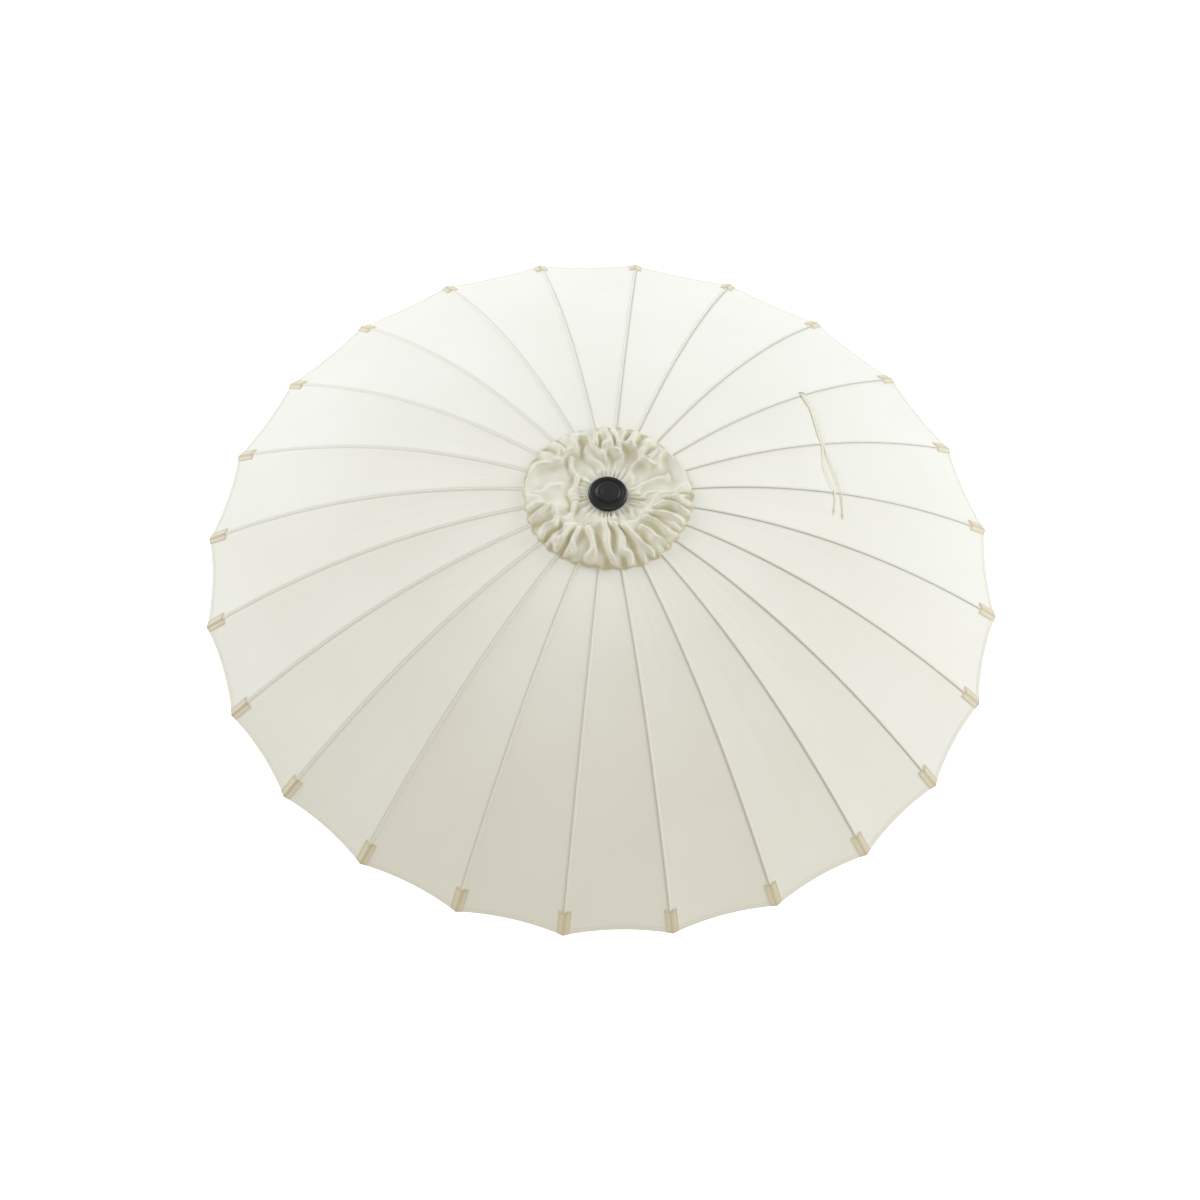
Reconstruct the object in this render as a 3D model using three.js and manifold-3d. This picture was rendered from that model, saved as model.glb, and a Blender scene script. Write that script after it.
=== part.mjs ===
// Garden parasol with 24 sprung ribs, a crank lift and a push-button tilt joint.
// Millimetres, +Z up the pole, origin at the centre of the pole's foot. The canopy is open and upright.
import * as THREE from 'three';
import { mergeVertices } from 'three/addons/utils/BufferGeometryUtils.js';
import Module from 'manifold-3d';

const wasm = await Module();
wasm.setup();

// ---------------------------------------------------------------- driving dimensions
const ribCount = 24;
const canopyRadius = 1300;      // axis to the canopy's rim at a rib
const canopyRise = 489;         // crown above the rim
const crownFlat = 130;          // radius inside which the ribs run level
const rimHeight = 1930;         // rim above the ground
const scallop = 13;             // how far a panel's free edge is hollowed between two ribs
const scallopStart = 1000;      // radius where that hollowing starts
const fabricThickness = 1;
const canopyHole = 26;          // radius of the hole at the crown, under the finial
const gap = 0.4;                // between pieces that touch
const slide = 0.6;              // round a shaft, button or rib that moves
const ribDiameter = 6;
const ribTipInset = 6;          // rib tip short of the rim, inside its pocket
const ribTail = 2;              // rib or stretcher beyond its pivot in the hub or runner
const pivotRadius = 46;         // ring of pivots in the hub and in the runner
const spreaderRadius = 56;      // outside of the hub and of the runner's collar
const slotDepthInside = 8;      // slot inside the ring of pivots
const hubBelow = 14;            // hub below the rib centres
const hubCap = 3;               // cap over the slots
const hubSleeveWall = 8;
const hubSleeveLength = 30;
const jointRadius = 600;        // where the stretcher meets its rib
const jointDrop = 13;           // stretcher's pivot below the rib's centre line
const jointEar = [12, 4.6, 5];  // lug under the rib: along it, across it and below the stretcher's pivot
const stretcherDiameter = 6;
const stretcherRise = 25;       // degrees, with the canopy open
const forkSize = [24, 10, 10];  // fork on the stretcher's outer end: length, width and depth
const forkTail = 5;             // fork beyond its pivot
const runnerCollar = 18;        // height of the slotted collar
const runnerSleeveWall = 6.5;
const runnerSleeveLength = 42;  // plain sleeve below the collar
const runnerClearance = 3.5;    // round the tilt joint, which the runner passes
const poleRadius = 19;
const poleWall = 2;
const footPlug = 22;            // closed end of the pole
const tiltBelowRunner = 63;     // tilt pivot below the open runner
const knuckleStep = 2;          // knuckles of the tilt joint proud of the pole
const tongueThickness = 14;
const tongueInset = 3;          // rounded end of the tongue inside the pole's outside
const forkSocket = 42;          // solid part of the lower knuckle below the pivot
const shoulderTop = 72;         // top of the upper knuckle above the pivot
const tiltPinRadius = 3.2;
const buttonRadius = 6;
const buttonRise = 46;          // tilt button above the pivot
const buttonProud = 1.5;
const buttonTravel = 3;
const buttonLength = 14;
const topPlug = 30;             // threaded plug in the top of the pole
const finialStemRadius = 10;
const finialRadius = 62;
const finialBevel = 5;
const finialRim = 14;           // height of the finial's straight rim
const finialDome = 8;
const finialStem = 45;
const crankHeight = 945;
const housingWall = 15;         // housing round the pole
const housingNose = 58;         // housing in front of the axis
const housingHeight = 84;
const housingBevel = 4;
const drumRadius = 11;
const drumLength = 20;
const shaftRadius = 5;
const crankArm = 75;
const armThickness = 8;
const armWidth = 16;
const gripPinRadius = 4;
const gripPinHead = 3;
const gripLength = 34;
const gripRadius = 11.5;
const ruffleRadius = 272;
const ruffleHeight = 40;
const ruffleCentre = 4;         // thickness of the gathers clamped under the finial
const tieDiameter = 6;
const tieLift = 2.5;            // tie above the cloth, over the ridges of the ribs

// ---------------------------------------------------------------- materials
function finish(color, roughness, metalness = 0) {
  return new THREE.MeshStandardMaterial({ color, roughness, metalness });
}

const cloth = finish(0xf1f0e4, 0.9);
const ruffleCloth = finish(0xf0efe2, 0.85);
const tape = finish(0xede4cc, 0.8);
const paintedTube = finish(0x3c4043, 0.45, 0.3);
const fibreglass = finish(0x2a2b2c, 0.4);
const blackPlastic = finish(0x1d1e1e, 0.5);
const greyPlastic = finish(0x33363a, 0.55);

// ---------------------------------------------------------------- shape helpers
const part = new THREE.Group();

function solid(geometry) {
  geometry.deleteAttribute('normal');
  if (geometry.attributes.uv) geometry.deleteAttribute('uv');
  const merged = mergeVertices(geometry, 1e-4);
  const triVerts = new Uint32Array(merged.index.array);
  const vertProperties = new Float32Array(merged.attributes.position.array);
  return new wasm.Manifold(new wasm.Mesh({ numProp: 3, vertProperties, triVerts }));
}

function place(name, shape, material, azimuth = 0) {
  const { vertProperties, triVerts } = shape.getMesh();
  const geometry = new THREE.BufferGeometry();
  geometry.setAttribute('position', new THREE.BufferAttribute(vertProperties, 3));
  geometry.setIndex(new THREE.BufferAttribute(triVerts, 1));
  geometry.computeVertexNormals();
  const mesh = new THREE.Mesh(geometry, material);
  mesh.name = name;
  mesh.rotation.z = azimuth;
  part.add(mesh);
}

// A round bar between two points.
function bar(from, to, radius, sides = 20) {
  const axis = to.clone().sub(from);
  const geometry = new THREE.CylinderGeometry(radius, radius, axis.length(), sides);
  const turn = new THREE.Quaternion().setFromUnitVectors(new THREE.Vector3(0, 1, 0), axis.normalize());
  geometry.applyQuaternion(turn);
  const middle = from.clone().add(to).multiplyScalar(0.5);
  return solid(geometry.translate(middle.x, middle.y, middle.z));
}

// A round bar standing on the pole's axis, from one height to another.
function upright(bottom, top, radius, sides) {
  return bar(new THREE.Vector3(0, 0, bottom), new THREE.Vector3(0, 0, top), radius, sides);
}

// A round bar along Y in the plane of the pole's axis.
function frontToBack(front, back, height, radius, sides) {
  return bar(new THREE.Vector3(0, front, height), new THREE.Vector3(0, back, height), radius, sides);
}

function block(size, centre) {
  return solid(new THREE.BoxGeometry(...size).translate(...centre));
}

// A turned piece: the profile is a list of [radius, height] and starts and ends on the axis.
function turned(profile, sides = 24) {
  const points = profile.map(([radius, height]) => new THREE.Vector2(radius, height));
  return solid(new THREE.LatheGeometry(points, sides).rotateX(Math.PI / 2));
}

// A ring whose closed profile may change with the angle round the axis.
function ringSolid(sections, profileAt) {
  const positions = [];
  const triangles = [];
  const profiles = Array.from({ length: sections }, (_, i) => profileAt(i));
  const count = profiles[0].length;
  profiles.forEach((profile, i) => {
    const angle = (i / sections) * 2 * Math.PI;
    profile.forEach(([radius, height]) => {
      positions.push(radius * Math.cos(angle), radius * Math.sin(angle), height);
    });
  });
  for (let i = 0; i < sections; i += 1) {
    const next = (i + 1) % sections;
    for (let j = 0; j < count; j += 1) {
      const k = (j + 1) % count;
      const [a, b, c, d] = [i * count + j, next * count + j, next * count + k, i * count + k];
      triangles.push(a, b, c, a, c, d);
    }
  }
  const geometry = new THREE.BufferGeometry();
  geometry.setAttribute('position', new THREE.BufferAttribute(new Float32Array(positions), 3));
  geometry.setIndex(triangles);
  return solid(geometry);
}

// The ring of slots that the hub and the runner share: teeth between open radial slots.
const slotWidth = Math.max(ribDiameter, stretcherDiameter) + 2 * gap;
const centre = new THREE.Vector2();
const azimuthOf = (index) => (index / ribCount) * 2 * Math.PI;

function slottedRing(boreRadius, height) {
  const slotFloor = pivotRadius - slotDepthInside;
  const outline = [];
  for (let i = 0; i < ribCount; i += 1) {
    const corners = [[spreaderRadius, -1], [slotFloor, -1], [slotFloor, 1], [spreaderRadius, 1]];
    corners.forEach(([radius, side]) => {
      const along = Math.sqrt(radius ** 2 - (slotWidth / 2) ** 2);
      outline.push(new THREE.Vector2(along, (side * slotWidth) / 2).rotateAround(centre, azimuthOf(i)));
    });
  }
  const shape = new THREE.Shape(outline);
  const bore = new THREE.Path().absarc(0, 0, boreRadius, 0, 2 * Math.PI, true);
  shape.holes.push(bore);
  return solid(new THREE.ExtrudeGeometry(shape, { depth: height, bevelEnabled: false, curveSegments: 12 }));
}

const numbered = (name, index) => `${name}_${String(index + 1).padStart(2, '0')}`;
const point = (x, y, z) => new THREE.Vector3(x, y, z);

// ---------------------------------------------------------------- ribs and canopy line
// The cloth's upper side is level round the crown and falls as a parabola to the rim.
const share = (radius) => Math.max(0, radius - crownFlat) / (canopyRadius - crownFlat);
const fall = (radius) => canopyRise * share(radius) ** 2;
const slope = (radius) => (2 * canopyRise * share(radius)) / (canopyRadius - crownFlat);
const clothOver = (radius) => rimHeight + canopyRise - fall(radius);
const clothUnder = (radius) => clothOver(radius) - fabricThickness;
const ribLevel = (radius) => clothUnder(radius) - (ribDiameter / 2 + slide) * Math.hypot(1, slope(radius));

class RibLine extends THREE.Curve {
  getPoint(t) {
    const radius = THREE.MathUtils.lerp(pivotRadius - ribTail, canopyRadius - ribTipInset, t);
    return point(radius, 0, ribLevel(radius));
  }
}

const ribSteps = 8;
const ribLine = new RibLine();
const ribStations = ribLine.getSpacedPoints(ribSteps).map((p) => p.x);
const hubLevel = ribLevel(pivotRadius);
const jointLevel = ribLevel(jointRadius) - jointDrop;
const ribSection = new THREE.Shape(Array.from({ length: 6 }, (_, i) => (
  new THREE.Vector2(ribDiameter / 2, 0).rotateAround(centre, (i * Math.PI) / 3)
)));
const ribRod = solid(new THREE.ExtrudeGeometry(ribSection, {
  steps: ribSteps, extrudePath: ribLine, bevelEnabled: false,
}));
const [earLength, earWidth, earBelowPivot] = jointEar;
const earTop = ribLevel(jointRadius) - ribDiameter / 3;
const earBottom = jointLevel - earBelowPivot;
const ear = block([earLength, earWidth, earTop - earBottom], [jointRadius, 0, (earTop + earBottom) / 2]);
const rib = ribRod.add(ear);

// ---------------------------------------------------------------- stretchers
const stretcherReach = jointRadius - pivotRadius;
const runnerLevel = jointLevel - stretcherReach * Math.tan(THREE.MathUtils.degToRad(stretcherRise));
const jointPoint = point(jointRadius, 0, jointLevel);
const runnerPoint = point(pivotRadius, 0, runnerLevel);
const inward = runnerPoint.clone().sub(jointPoint).normalize();
const [forkLength, forkWidth, forkDepth] = forkSize;

function alongStretcher(distance) {
  return jointPoint.clone().addScaledVector(inward, distance);
}

function stretcherBlock(size, distance) {
  const geometry = new THREE.BoxGeometry(...size);
  geometry.rotateY(THREE.MathUtils.degToRad(-stretcherRise));
  const centre = alongStretcher(distance);
  return solid(geometry.translate(centre.x, centre.y, centre.z));
}

const forkMouth = forkLength - forkTail * 2;
const mouthSize = [forkMouth + forkTail, earWidth + 2 * gap, forkDepth * 2];
const stretcherLength = jointPoint.distanceTo(runnerPoint);
const rodStart = alongStretcher(forkLength - forkTail - 2);
const rodEnd = alongStretcher(stretcherLength + ribTail);
const stretcher = stretcherBlock([forkLength, forkWidth, forkDepth], forkLength / 2 - forkTail)
  .subtract(stretcherBlock(mouthSize, (forkMouth - forkTail) / 2))
  .add(bar(rodStart, rodEnd, stretcherDiameter / 2, 6));

for (let i = 0; i < ribCount; i += 1) {
  place(numbered('rib', i), rib, fibreglass, azimuthOf(i));
  place(numbered('stretcher', i), stretcher, fibreglass, azimuthOf(i));
}

// ---------------------------------------------------------------- hub and runner
const hubAbove = ribDiameter / 2 + 1;
const hubTop = hubLevel + hubAbove + hubCap;
const poleBore = poleRadius + gap;
const hubSleeveRadius = poleRadius + hubSleeveWall;
const hubBottom = hubLevel - hubBelow;
const weld = 0.01;
const hub = slottedRing(poleBore, hubBelow + hubAbove).translate([0, 0, hubBottom])
  .add(upright(hubLevel + hubAbove - weld, hubTop, spreaderRadius, ribCount))
  .add(upright(hubBottom - hubSleeveLength, hubBottom + 1, hubSleeveRadius))
  .subtract(upright(hubBottom - 2 * hubSleeveLength, hubTop + 1, poleBore, ribCount));
place('top_hub', hub, blackPlastic);

const knuckleRadius = poleRadius + knuckleStep;
const runnerBore = knuckleRadius + runnerClearance;
const runnerSleeveRadius = runnerBore + runnerSleeveWall;
const collarBottom = runnerLevel - runnerCollar / 2;
const runner = slottedRing(runnerBore, runnerCollar).translate([0, 0, collarBottom])
  .add(upright(collarBottom - runnerSleeveLength, collarBottom + 1, runnerSleeveRadius, ribCount))
  .subtract(upright(collarBottom - 2 * runnerSleeveLength, runnerLevel + runnerCollar, runnerBore, ribCount));
place('runner', runner, blackPlastic);

// ---------------------------------------------------------------- lower pole with foot and tilt fork
const tiltHeight = collarBottom - runnerSleeveLength - tiltBelowRunner;
const earRadius = knuckleRadius - 1;
const tongueRadius = poleRadius - tongueInset;
const tongueSlot = tongueThickness + 2 * gap;
const knuckleBottom = tiltHeight - forkSocket;
const shaftHole = frontToBack(-2 * poleRadius, 0, crankHeight, shaftRadius + slide);
const lowerTube = turned([
  [0, 0], [poleRadius - 1.5, 0], [poleRadius, 1.5], [poleRadius, knuckleBottom],
  [knuckleRadius, knuckleBottom + 3], [knuckleRadius, tiltHeight], [0, tiltHeight],
]);
const lowerBore = upright(footPlug, knuckleBottom - 20, poleRadius - poleWall);
const acrossPole = (radius, reach) => bar(point(-reach, 0, tiltHeight), point(reach, 0, tiltHeight), radius);
const ears = upright(tiltHeight - 1, tiltHeight + 2 * earRadius, knuckleRadius, 24)
  .intersect(acrossPole(earRadius, 2 * knuckleRadius));
const slotHeight = 4 * knuckleRadius;
const slotFloorLevel = tiltHeight - tongueRadius - 1.5;
const lowerPole = lowerTube.add(ears)
  .subtract(lowerBore)
  .subtract(block([tongueSlot, 4 * knuckleRadius, slotHeight], [0, 0, slotFloorLevel + slotHeight / 2]))
  .subtract(acrossPole(tiltPinRadius, 2 * knuckleRadius))
  .subtract(shaftHole);
place('lower_pole', lowerPole, paintedTube);

// ---------------------------------------------------------------- top pole with tilt tongue
const shoulderBottom = tiltHeight + earRadius + 1;
const shoulder = tiltHeight + shoulderTop;
const poleTop = hubTop - 1;
const topTube = turned([
  [0, shoulderBottom], [knuckleRadius, shoulderBottom], [knuckleRadius, shoulder - 3],
  [poleRadius, shoulder], [poleRadius, poleTop], [0, poleTop],
]);
const tongueHeight = earRadius + 3;
const tongue = acrossPole(tongueRadius, tongueThickness / 2)
  .add(block([tongueThickness, 2 * tongueRadius, tongueHeight], [0, 0, tiltHeight + tongueHeight / 2]));
const buttonLevel = tiltHeight + buttonRise;
const buttonFace = -knuckleRadius - buttonProud;
const buttonBack = buttonFace + buttonLength + buttonTravel + slide;
const topPole = topTube.add(tongue)
  .subtract(upright(shoulder + 10, poleTop - topPlug, poleRadius - poleWall))
  .subtract(upright(poleTop - topPlug - 1, poleTop + 1, finialStemRadius + gap))
  .subtract(acrossPole(tiltPinRadius, 2 * knuckleRadius))
  .subtract(frontToBack(-2 * knuckleRadius, buttonBack, buttonLevel, buttonRadius + gap));
place('top_pole', topPole, paintedTube);

const tiltButton = frontToBack(buttonFace, buttonFace + buttonLength, buttonLevel, buttonRadius);
place('tilt_button', tiltButton, blackPlastic);

// ---------------------------------------------------------------- crank housing, handle and grip
const housingRadius = poleRadius + housingWall;
const housingShape = new THREE.Shape();
const noseHalf = housingRadius * 0.72;
housingShape.absarc(0, 0, housingRadius - housingBevel, -Math.PI / 6, Math.PI + Math.PI / 6, false);
housingShape.lineTo(-noseHalf + housingBevel, -housingNose + 12);
housingShape.lineTo(-noseHalf + 14, -housingNose + housingBevel);
housingShape.lineTo(noseHalf - 14, -housingNose + housingBevel);
housingShape.lineTo(noseHalf - housingBevel, -housingNose + 12);
housingShape.closePath();
const housingBody = solid(new THREE.ExtrudeGeometry(housingShape, {
  depth: housingHeight - 2 * housingBevel, bevelThickness: housingBevel, bevelSize: housingBevel,
  bevelSegments: 2, curveSegments: 16,
}).translate(0, 0, crankHeight - housingHeight / 2 + housingBevel));
const housing = housingBody
  .subtract(upright(crankHeight - housingHeight, crankHeight + housingHeight, poleBore, 24))
  .subtract(frontToBack(-2 * housingNose, 0, crankHeight, shaftRadius + slide));
place('crank_housing', housing, greyPlastic);

const drumBack = 12;
const armBack = -housingNose - 8;
const armFront = armBack - armThickness;
const gripLevel = crankHeight - crankArm;
const gripFront = armFront - slide - gripLength;
const armMiddle = (armBack + armFront) / 2;
const pinEnd = gripFront - slide - gripPinHead;
const handle = frontToBack(drumBack, drumBack - drumLength, crankHeight, drumRadius)
  .add(frontToBack(drumBack - 1, armFront, crankHeight, shaftRadius, 16))
  .add(block([armWidth, armThickness, crankArm], [0, armMiddle, crankHeight - crankArm / 2]))
  .add(frontToBack(armBack, armFront, crankHeight, armWidth / 2 + 2))
  .add(frontToBack(armBack, armFront, gripLevel, armWidth / 2))
  .add(frontToBack(armBack, pinEnd, gripLevel, gripPinRadius, 16))
  .add(frontToBack(gripFront - slide, pinEnd, gripLevel, gripPinRadius + 2.5, 16));
place('crank_handle', handle, greyPlastic);

const gripProfile = [
  [0, 0], [gripRadius - 2.5, 0], [gripRadius - 1, 2], [gripRadius - 1.5, gripLength / 2],
  [gripRadius, gripLength - 6], [gripRadius - 2, gripLength], [0, gripLength],
];
const grip = turned(gripProfile, 24)
  .subtract(upright(-1, gripLength + 1, gripPinRadius + gap, 16))
  .rotate([90, 0, 0])
  .translate([0, armFront - slide, gripLevel]);
place('crank_knob', grip, blackPlastic);

// ---------------------------------------------------------------- canopy
const coverRadius = spreaderRadius + 4;
const clothLines = [
  [canopyHole, hubTop + gap],
  [coverRadius, hubTop + gap],
  ...[...ribStations.slice(1), canopyRadius].map((radius) => [radius, clothUnder(radius)]),
];
const halfPanel = Math.PI / ribCount;

function canopyProfile(section) {
  const between = section % 2 === 1;
  const line = clothLines.map(([radius, height]) => {
    if (!between) return [radius, height];
    const hollow = scallop * (Math.max(0, radius - scallopStart) / (canopyRadius - scallopStart)) ** 2;
    return [radius * Math.cos(halfPanel) - hollow, clothHeight(radius, height, hollow)];
  });
  const top = line.map(([radius, height]) => [radius, height + fabricThickness]);
  return [...line, ...top.reverse()];
}

// A hollowed edge stays in the panel's own surface, so it lies a little higher than the rib beside it.
function clothHeight(radius, height, hollow) {
  return height + fall(radius) - fall(radius - hollow / Math.cos(halfPanel));
}

place('canopy', ringSolid(2 * ribCount, canopyProfile), cloth);

// Top of the cloth over any point: the panels run straight from rib to rib.
function clothTop(x, y) {
  const angle = Math.atan2(y, x);
  const fromPanelMiddle = angle - (Math.floor(angle / (2 * halfPanel)) + 0.5) * 2 * halfPanel;
  const alongRib = (Math.hypot(x, y) * Math.cos(fromPanelMiddle)) / Math.cos(halfPanel);
  return clothOver(alongRib);
}

// ---------------------------------------------------------------- gathered crown ruffle
const clampLevel = hubTop + gap + fabricThickness;
const ruffleTop = [
  [canopyHole, ruffleCentre], [finialRadius + 4, ruffleCentre], [100, 12], [150, ruffleHeight - 3],
  [208, ruffleHeight], [252, ruffleHeight * 0.62], [ruffleRadius, 9],
];

// Top of the cloth near the crown: clamped level on the hub, then straight to the ribs' first station.
function crownCloth(radius) {
  if (radius < coverRadius) return clampLevel;
  const station = ribStations[1];
  if (radius > station) return clothOver(radius);
  return THREE.MathUtils.mapLinear(radius, coverRadius, station, clampLevel, clothOver(station));
}

const underRuffle = (radius) => crownCloth(radius) + gap;
const ruffleStations = [canopyHole, coverRadius, ribStations[1], 208, ruffleRadius];
const ruffleProfile = [
  ...ruffleStations.map((radius) => [radius, underRuffle(radius)]),
  ...[...ruffleTop].reverse().map(([radius, height]) => [radius, underRuffle(radius) + height]),
];
place('crown_ruffle', ringSolid(ribCount, () => ruffleProfile), ruffleCloth);

// ---------------------------------------------------------------- finial
const finialBottom = clampLevel + ruffleCentre + 2 * gap;
const finialShoulder = finialBottom + finialRim;
const finial = turned([
  [0, finialBottom - finialStem], [finialStemRadius - 1, finialBottom - finialStem],
  [finialStemRadius, finialBottom - finialStem + 1], [finialStemRadius, finialBottom],
  [finialRadius - 3, finialBottom], [finialRadius, finialBottom + 3], [finialRadius, finialShoulder],
  [finialRadius - finialBevel, finialShoulder + finialBevel],
  [finialRadius * 0.62, finialShoulder + finialBevel + 1],
  [finialRadius * 0.58, finialShoulder + finialDome], [0, finialShoulder + finialDome + 2],
], 36);
place('finial', finial, blackPlastic);

// ---------------------------------------------------------------- tie, sewn to the seam at 45 degrees
// Each strand's route over the cloth, as [azimuth in degrees, radius].
const tieStart = [
  [45, 846], [43.9, 842], [42.4, 838], [40.2, 831], [37.4, 814], [34.5, 797], [31.8, 784], [29.3, 775],
];
const outerStrand = [
  ...tieStart, [27.2, 770], [25.3, 768], [23.5, 768], [21.7, 767], [18.4, 767], [15.7, 768], [12.5, 767],
  [9.9, 765], [7.6, 762],
];
const innerStrand = [
  [29.3, 775], [26.9, 764], [25.2, 757], [23.8, 752], [21.5, 746], [19.2, 744], [17.2, 746], [15.3, 750],
  [12.7, 751], [10.4, 745], [8.3, 738],
];

function strand(route) {
  const path = new THREE.CatmullRomCurve3(route.map(([azimuth, radius]) => {
    const angle = THREE.MathUtils.degToRad(azimuth);
    const [x, y] = [radius * Math.cos(angle), radius * Math.sin(angle)];
    return point(x, y, clothTop(x, y) + tieLift + tieDiameter / 2);
  }));
  const section = new THREE.Shape().absarc(0, 0, tieDiameter / 2, 0, 2 * Math.PI);
  return solid(new THREE.ExtrudeGeometry(section, {
    steps: Math.round(path.getLength() / (3 * tieDiameter)),
    extrudePath: path,
    bevelEnabled: false,
    curveSegments: 4,
  }));
}

place('tie', strand(outerStrand).add(strand(innerStrand)), tape);

export default part;
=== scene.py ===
import math

import bpy
import numpy as np
from mathutils import Matrix, Vector, noise


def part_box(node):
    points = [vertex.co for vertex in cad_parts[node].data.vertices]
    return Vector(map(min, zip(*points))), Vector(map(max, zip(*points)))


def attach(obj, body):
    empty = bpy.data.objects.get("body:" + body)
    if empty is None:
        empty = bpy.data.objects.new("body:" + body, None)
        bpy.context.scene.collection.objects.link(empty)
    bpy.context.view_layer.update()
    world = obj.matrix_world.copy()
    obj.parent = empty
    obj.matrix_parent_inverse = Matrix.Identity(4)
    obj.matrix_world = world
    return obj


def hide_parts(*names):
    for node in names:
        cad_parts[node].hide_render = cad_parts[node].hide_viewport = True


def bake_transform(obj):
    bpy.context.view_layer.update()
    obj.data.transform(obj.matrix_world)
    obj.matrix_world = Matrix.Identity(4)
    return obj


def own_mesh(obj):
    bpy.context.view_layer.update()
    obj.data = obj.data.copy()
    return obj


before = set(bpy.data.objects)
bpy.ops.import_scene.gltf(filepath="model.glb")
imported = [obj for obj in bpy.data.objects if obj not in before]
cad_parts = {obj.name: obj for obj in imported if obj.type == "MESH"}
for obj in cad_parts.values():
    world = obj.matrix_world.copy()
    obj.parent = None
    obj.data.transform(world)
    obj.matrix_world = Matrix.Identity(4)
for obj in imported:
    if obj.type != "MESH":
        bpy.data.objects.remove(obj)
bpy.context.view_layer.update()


# ---- Viewpoint ------------------------------------------------------------------------
# The parasol stands open and is seen from high in front, a little to the right of its
# middle, through a long lens, so that the whole round of the canopy is in view.
view_place = Vector((0.1593, -5.3356, 10.5393))
view_target = Vector((0.0022, -0.0847, 1.930))
view_roll = math.radians(4.195)

forward = (view_target - view_place).normalized()
level_side = forward.cross(Vector((0, 0, 1))).normalized()
level_up = level_side.cross(forward)
side = level_side * math.cos(view_roll) + level_up * math.sin(view_roll)
up = level_up * math.cos(view_roll) - level_side * math.sin(view_roll)
viewer = bpy.data.objects.new("viewer", bpy.data.cameras.new("viewer"))
viewer.data.lens = 92.255
viewer.data.sensor_width = 36.0
viewer.data.clip_end = 200.0
viewer.matrix_world = Matrix((side, up, -forward)).transposed().to_4x4()
viewer.location = view_place
bpy.context.collection.objects.link(viewer)
bpy.context.scene.camera = viewer


# ---- Floor and light ------------------------------------------------------------------
# A white studio floor, two big soft lamps high behind the parasol, one at each side, and
# a weaker one in front. The far half of the cloth is almost white and the near half is a warm pale grey.
floor_white = "#FBFBFA"
floor_radius = 45.0


def linear(colour):
    """An sRGB hex colour as the linear values that a socket takes."""
    parts = [int(colour[i:i + 2], 16) / 255 for i in (1, 3, 5)]
    return tuple(p / 12.92 if p <= 0.04045 else ((p + 0.055) / 1.055) ** 2.4 for p in parts) + (1.0,)


def add(tree, kind, sockets=None, **settings):
    """Adds a node. A socket is given a number, a colour or the output that feeds it."""
    made = tree.nodes.new(kind)
    for name, value in settings.items():
        setattr(made, name, value)
    for name, value in (sockets or {}).items():
        if isinstance(value, bpy.types.NodeSocket):
            tree.links.new(value, made.inputs[name])
        else:
            made.inputs[name].default_value = value
    return made


def new_material(name, colour, **shader_values):
    """A material with its shader set, its node tree and that shader."""
    made = bpy.data.materials.new(name)
    made.use_nodes = True
    shader = made.node_tree.nodes["Principled BSDF"]
    shader.inputs["Base Color"].default_value = linear(colour)
    for socket, value in shader_values.items():
        shader.inputs[socket.replace("_", " ")].default_value = value
    return made, made.node_tree, shader


def piece(name, *parts):
    """One mesh at the origin from (points, faces, material) or (points, faces, material, cut)."""
    mesh = bpy.data.meshes.new(name)
    points, faces, slots, cuts, materials = [], [], [], [], []
    for part in parts:
        start = len(points)
        if part[2] not in materials:
            materials.append(part[2])
        points += [tuple(p) for p in part[0]]
        faces += [tuple(start + int(i) for i in f) for f in part[1]]
        slots += [materials.index(part[2])] * len(part[1])
        cuts += list(part[3]) if len(part) > 3 else [(0.5, 0.5)] * len(part[0])
    mesh.from_pydata(points, [], faces)
    for m in materials:
        mesh.materials.append(m)
    mesh.polygons.foreach_set("material_index", slots)
    mesh.polygons.foreach_set("use_smooth", [True] * len(faces))
    if any(len(part) > 3 for part in parts):
        cut = mesh.uv_layers.new(name="cut")
        corner = np.zeros(len(mesh.loops), np.int32)
        mesh.loops.foreach_get("vertex_index", corner)
        cut.data.foreach_set("uv", np.array(cuts, np.float32)[corner].ravel())
    mesh.update()
    mesh.set_sharp_from_angle(angle=math.radians(42))
    made = bpy.data.objects.new(name, mesh)
    bpy.context.collection.objects.link(made)
    return made


# White vinyl floor, matt, with a trace of grey in it. It is shown brighter to the camera
# than it is as a light, so that it reads white and throws little up under the canopy.
studio_vinyl, tree, shader = new_material("studio_vinyl", floor_white, Roughness=0.9)
shader.inputs["Emission Color"].default_value = linear("#FFFFFF")
ray = add(tree, "ShaderNodeLightPath")
glow = add(tree, "ShaderNodeMapRange", {"Value": ray.outputs["Is Camera Ray"], "To Min": 0.08, "To Max": 0.8})
tree.links.new(glow.outputs["Result"], shader.inputs["Emission Strength"])
place = add(tree, "ShaderNodeTexCoord")
cloudy = add(tree, "ShaderNodeTexNoise", {"Vector": place.outputs["Object"], "Scale": 0.8})
tone = add(tree, "ShaderNodeMixRGB", {"Fac": cloudy.outputs["Fac"], "Color1": linear(floor_white),
                                      "Color2": linear("#F7F7F5")})
tree.links.new(tone.outputs["Color"], shader.inputs["Base Color"])
floor_ring = [(floor_radius * math.cos(a), floor_radius * math.sin(a), -0.0005)
              for a in np.linspace(0, 2 * math.pi, 96, endpoint=False)]
studio_floor = piece("studio_floor", (floor_ring, [range(96)], studio_vinyl))

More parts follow.
